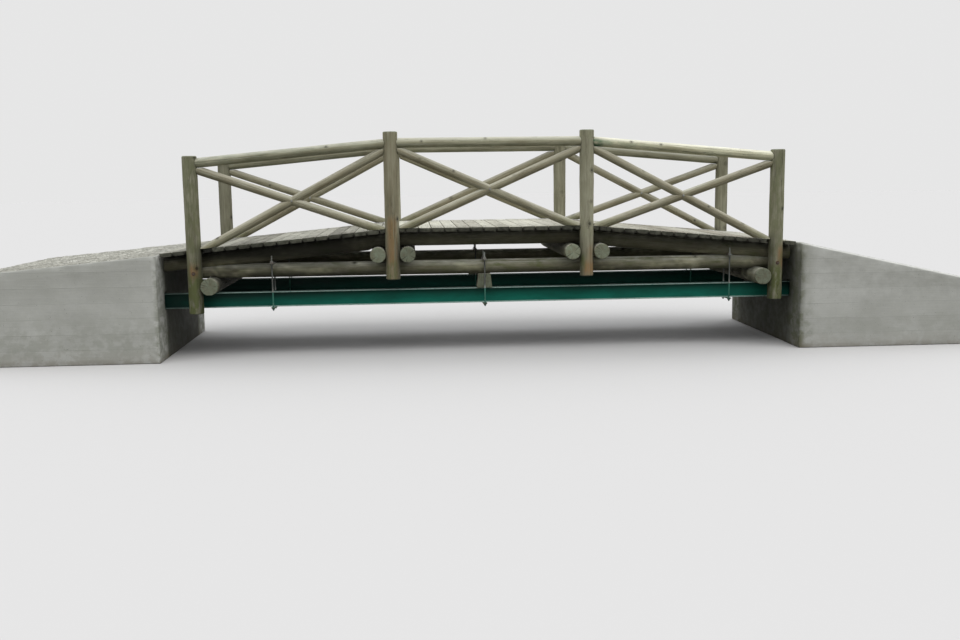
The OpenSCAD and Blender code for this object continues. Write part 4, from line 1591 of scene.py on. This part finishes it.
def slice_along(bm, axis, spacing):
    """Cuts the whole mesh with parallel planes, so that its flat faces can undulate."""
    values = [vert.co[axis] for vert in bm.verts]
    place, normal = min(values) + spacing * 0.6, Vector((0, 0, 0))
    normal[axis] = 1.0
    while place < max(values) - spacing * 0.3:
        bmesh.ops.bisect_plane(bm, geom=bm.verts[:] + bm.edges[:] + bm.faces[:], dist=0.00001,
                               plane_co=normal * place, plane_no=normal)
        place += spacing


BLOCK_EASE = 0.004
BLOCK_SLICE = 0.03
# Where the blocks' sawn ends lie in the timber that they were cut from
BLOCK_GRAIN = Vector((0.05 - BLOCK_X, 0.06 - BEAM_TOP, 0.0))


def make_mid_span_blocks():
    """Timber blocks between beam and log, with their end grain to the side."""
    bm = copy_of_node("mid_span_blocks")
    ease_edges(bm, BLOCK_EASE, 2)
    slice_along(bm, 0, BLOCK_SLICE)
    slice_along(bm, 2, BLOCK_SLICE)
    bmesh.ops.recalc_face_normals(bm, faces=bm.faces)
    grain = layers_of(bm)[2]
    for face in bm.faces:
        face.material_index = int(abs(face.normal.y) > 0.7)
    for vert in bm.verts:
        vert[grain] = BLOCK_GRAIN + vert.co.xzy
        vert.co -= vert.normal * 0.0012 * (1 + noise.noise(vert.co * 14))
    # Darkened by dampness and painted shade under the deck
    paint_weather(bm, flat_weather(0.2, 0.25, 0.55))
    add_piece("mid_span_blocks_timber", bm, ("Log timber", "Log end"), ("mid_span_blocks",))


def joint_line(side):
    """Height of the joint between abutment and approach slab, at a place along the bridge."""
    wall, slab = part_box(f"{side}_abutment"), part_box(f"{side}_approach")
    face, end = sorted((slab[0].x, slab[1].x), key=abs)
    fall = (wall[1].z - slab[0].z) / abs(end - face)
    return lambda x: wall[1].z - abs(x - face) * fall


def wall_weather_light_and_shade(side):
    """Dirt at a wall's foot, runs under its top, algae on the faces to the stream, dampness and painted shade
    under the deck, painted shade on the right wall's face to the stream and painted light on the left one's.
    """
    face, way = (LEFT_FACE, -1) if side == "left" else (RIGHT_FACE, 1)
    # Algae on the face to the stream, painted shade on the right wall's face to the stream and painted light
    # on the left one's, and algae all over the left wall
    film, shade, side_film = (0.65, 0.75, 0.0) if way > 0 else (0.36, -0.75, 0.10)
    joint = joint_line(side)

    def weather(point):
        behind = (point.x - face) * way
        front = below(behind, 0.03, 0.03) * below(point.z, joint(point.x) + 0.02, 0.08)
        inside = front * below(abs(point.y), LOG_Y + 0.08, 0.22)
        dirt = 0.45 * below(point.z, 0.05, 0.12)
        runs = 0.16 * above(point.z, joint(point.x) - 0.12, 0.4)
        corner = 0.45 * below(behind, 0.09, 0.12) if way > 0 else 0.0
        green = 0.22 * faded(point.z, 0.05, 0.45, 0.4) + max(film * front, corner) + side_film
        # Runs, dampness and painted shade under the deck, the stream faces' painted shade and light, and a
        # darker strip beside the right wall's corner
        return green, dirt, runs + 1.3 * inside + shade * (front - inside) + 0.4 * corner * (1 - front)
    return weather


def sink_in(vert, joint):
    """Lets a flat face undulate, but keeps the joint between wall and slab where it is."""
    free = 1.0 - faded(vert.co.z - joint(vert.co.x), -0.04, 0.04, 0.08)
    return vert.normal * free * 0.0022 * (1 + noise.noise(vert.co * 2.3) + 0.4 * noise.noise(vert.co * 11))


def make_abutments():
    """Walls copied from the frame, with eased arrises and slightly uneven faces."""
    settings = bpy.context.scene.footbridge_concrete
    for side in ("left", "right"):
        name = f"{side}_abutment"
        joint = joint_line(side)
        bm = copy_of_node(name)
        ease_edges(bm, settings.arris, 3, joint)
        for axis in range(3):
            slice_along(bm, axis, settings.slice_l)
        for vert in bm.verts:
            vert.co -= sink_in(vert, joint)
        paint_weather(bm, wall_weather_light_and_shade(side))
        add_piece(f"{name}_cast", bm, ("Wall concrete",), (name,), 30.0)


SLAB_SLICES = (0.03, 0.03, 0.05)
SLAB_LUMPS = {"left": 0.007, "right": 0.004}


def make_approaches():
    """Slabs copied from the frame, their tops roughened as broken stone in concrete."""
    settings = bpy.context.scene.footbridge_concrete
    for side in ("left", "right"):
        name = f"{side}_approach"
        joint = joint_line(side)
        bm = copy_of_node(name)
        ease_edges(bm, settings.arris * 2, 3, joint)
        for axis, spacing in enumerate(SLAB_SLICES):
            slice_along(bm, axis, spacing)
        bmesh.ops.recalc_face_normals(bm, faces=bm.faces)
        for face in bm.faces:
            smooth = side == "right" and 0.2 < face.normal.z < 0.9
            face.material_index = 2 if smooth else int(face.normal.z > 0.3)
        for vert in bm.verts:
            up = max(0.0, vert.normal.z)
            stone = noise.cell(vert.co * 17) + noise.noise(vert.co * 24)
            vert.co -= sink_in(vert, joint) + vert.normal * up * SLAB_LUMPS[side] * (1 + 0.5 * stone)
        paint_weather(bm, wall_weather_light_and_shade(side))
        add_piece(f"{name}_cast", bm, ("Wall concrete", "Slab concrete", "Margin concrete"),
                  (name,), 50.0)


# Stage

FLOOR_R = 120.0
LAMP_SPREAD = math.radians(50.0)
LAMP_COLOUR = (1.0, 0.99, 0.97)
# Where the lamp is, seen from the bridge
LAMP_WAY = Vector((0.45, -0.75, 1.35))


def make_studio():
    """Plain pale floor, even light all round, one broad soft lamp and the camera."""
    studio = bpy.context.scene.footbridge_studio
    make_floor(studio)
    make_surroundings(studio)
    make_lamp(studio)
    make_camera(studio)
    bpy.context.scene.view_settings.view_transform = "Standard"


def seen_by_camera(graph):
    """1 where the camera sees it, also mirrored or through glass, and 0 where it only gives light."""
    path = graph.add("ShaderNodeLightPath").outputs
    mirrored = graph.maths("MAXIMUM", path["Is Camera Ray"], path["Is Glossy Ray"])
    return graph.maths("MAXIMUM", mirrored, path["Is Transmission Ray"])


def make_floor(studio):
    """Pale to the camera, darker as it lights the object from below."""
    material = bpy.data.materials.new("Floor")
    graph = fresh_graph(material)
    face = graph.mix(seen_by_camera(graph), studio.floor_bounce, studio.floor)
    surface = graph.add("ShaderNodeBsdfPrincipled", {"Base Color": face, "Roughness": 1.0,
                                                     "Specular IOR Level": 0.0})
    graph.add("ShaderNodeOutputMaterial", {0: surface.outputs[0]})
    bm = bmesh.new()
    bmesh.ops.create_circle(bm, cap_ends=True, segments=64, radius=FLOOR_R)
    mesh = bpy.data.meshes.new("floor")
    bm.to_mesh(mesh)
    bm.free()
    mesh.materials.append(material)
    place_object("floor", mesh)


def make_surroundings(studio):
    """A plain backdrop to the camera, and light from above and around to the object."""
    world = bpy.data.worlds.new("Surroundings")
    bpy.context.scene.world = world
    graph = fresh_graph(world)
    seen = seen_by_camera(graph)
    up = graph.axes(graph.add("ShaderNodeTexCoord").outputs["Generated"])[2]
    glow = graph.ease(up, -0.1, 0.9, studio.around, studio.above)
    power = graph.total(graph.product(graph.rest(seen), glow), seen)
    tint = graph.mix(seen, studio.daylight, studio.backdrop)
    light = graph.add("ShaderNodeBackground", {"Color": tint, "Strength": power})
    graph.add("ShaderNodeOutputWorld", {0: light.outputs[0]})


def make_lamp(studio):
    lamp = bpy.data.lights.new("soft_lamp", "SUN")
    lamp.energy = studio.lamp
    lamp.angle = LAMP_SPREAD
    lamp.color = LAMP_COLOUR
    place_object("soft_lamp", lamp).rotation_euler = LAMP_WAY.to_track_quat("Z", "Y").to_euler()


def make_camera(studio):
    camera = bpy.data.cameras.new("camera")
    camera.lens = studio.lens
    camera.sensor_width = 36.0
    camera.clip_end = 500.0
    holder = place_object("camera", camera)
    holder.matrix_world = Matrix.Translation(studio.camera_at) @ view_turn(studio).to_4x4()
    bpy.context.scene.camera = holder


def view_turn(studio):
    """The camera's turn: yaw towards +X, pitch below level, then roll about the line of sight."""
    ahead = Vector((math.sin(studio.yaw), math.cos(studio.yaw), 0.0))
    right = Vector((math.cos(studio.yaw), -math.sin(studio.yaw), 0.0))
    sight = ahead * math.cos(studio.pitch) - Vector((0, 0, 1)) * math.sin(studio.pitch)
    head = Vector((0, 0, 1)) * math.cos(studio.pitch) + ahead * math.sin(studio.pitch)
    rolled_right = right * math.cos(studio.roll) + head * math.sin(studio.roll)
    rolled_head = head * math.cos(studio.roll) - right * math.sin(studio.roll)
    return Matrix((rolled_right, rolled_head, -sight)).transposed()


# Operators and panel

class MaterialsOperator(bpy.types.Operator):
    """Build every finish of the bridge"""
    bl_idname = "footbridge.materials"
    bl_label = "Materials"

    def execute(self, context):
        make_materials()
        return {"FINISHED"}


class PostsOperator(bpy.types.Operator):
    """Sweep the eight round posts"""
    bl_idname = "footbridge.posts"
    bl_label = "Posts"

    def execute(self, context):
        make_posts()
        return {"FINISHED"}


class HandrailsOperator(bpy.types.Operator):
    """Sweep the six handrails, coped to the posts"""
    bl_idname = "footbridge.handrails"
    bl_label = "Handrails"

    def execute(self, context):
        make_handrails()
        return {"FINISHED"}


class BracesOperator(bpy.types.Operator):
    """Sweep the crossed braces, one of each pair in two scribed halves"""
    bl_idname = "footbridge.braces"
    bl_label = "Braces"

    def execute(self, context):
        make_braces()
        return {"FINISHED"}


class DeckOperator(bpy.types.Operator):
    """Lay the deck boards and nail them down"""
    bl_idname = "footbridge.deck"
    bl_label = "Deck boards"

    def execute(self, context):
        make_deck()
        return {"FINISHED"}


class LogsOperator(bpy.types.Operator):
    """Sweep the stringers, lower logs and cross logs"""
    bl_idname = "footbridge.logs"
    bl_label = "Logs"

    def execute(self, context):
        make_stringers()
        make_lower_logs()
        make_cross_logs()
        return {"FINISHED"}


class SteelBeamsOperator(bpy.types.Operator):
    """Roll the two green steel beams"""
    bl_idname = "footbridge.steel_beams"
    bl_label = "Steel beams"

    def execute(self, context):
        make_steel_beams()
        return {"FINISHED"}


class LogClampsOperator(bpy.types.Operator):
    """Clamp the lower logs to the steel beams over their mid-span blocks"""
    bl_idname = "footbridge.log_clamps"
    bl_label = "Log clamps"

    def execute(self, context):
        make_log_clamps()
        make_mid_span_blocks()
        return {"FINISHED"}


class BoltsOperator(bpy.types.Operator):
    """Bolt the timbers through"""
    bl_idname = "footbridge.bolts"
    bl_label = "Through bolts"

    def execute(self, context):
        make_bolts()
        return {"FINISHED"}


class ConcreteOperator(bpy.types.Operator):
    """Cast the abutments and the approach slabs"""
    bl_idname = "footbridge.concrete"
    bl_label = "Concrete"

    def execute(self, context):
        make_abutments()
        make_approaches()
        return {"FINISHED"}


class StudioOperator(bpy.types.Operator):
    """Set up the floor, the light and the camera"""
    bl_idname = "footbridge.studio"
    bl_label = "Studio"

    def execute(self, context):
        make_studio()
        return {"FINISHED"}


STEPS = (MaterialsOperator, PostsOperator, HandrailsOperator, BracesOperator, DeckOperator, LogsOperator,
         SteelBeamsOperator, LogClampsOperator, BoltsOperator, ConcreteOperator, StudioOperator)
SETTINGS = {"footbridge_timber": TimberSettings, "footbridge_steel": SteelSettings,
            "footbridge_concrete": ConcreteSettings, "footbridge_studio": StudioSettings}


class FootbridgePanel(bpy.types.Panel):
    """Settings and steps of the footbridge"""
    bl_idname = "VIEW3D_PT_footbridge"
    bl_label = "Wooden footbridge"
    bl_space_type = "VIEW_3D"
    bl_region_type = "UI"
    bl_category = "Footbridge"

    def draw(self, context):
        for name, settings in SETTINGS.items():
            box = self.layout.box()
            for label in settings.__annotations__:
                box.prop(getattr(context.scene, name), label)
        for step in STEPS:
            self.layout.operator(step.bl_idname)


def register():
    for part in (*SETTINGS.values(), *STEPS, FootbridgePanel):
        bpy.utils.register_class(part)
    for name, settings in SETTINGS.items():
        setattr(bpy.types.Scene, name, PointerProperty(type=settings))


def unregister():
    for name in SETTINGS:
        delattr(bpy.types.Scene, name)
    for part in reversed((*SETTINGS.values(), *STEPS, FootbridgePanel)):
        bpy.utils.unregister_class(part)


def main():
    register()
    for step in STEPS:
        group, action = step.bl_idname.split(".")
        getattr(getattr(bpy.ops, group), action)()


if __name__ == "__main__":
    main()
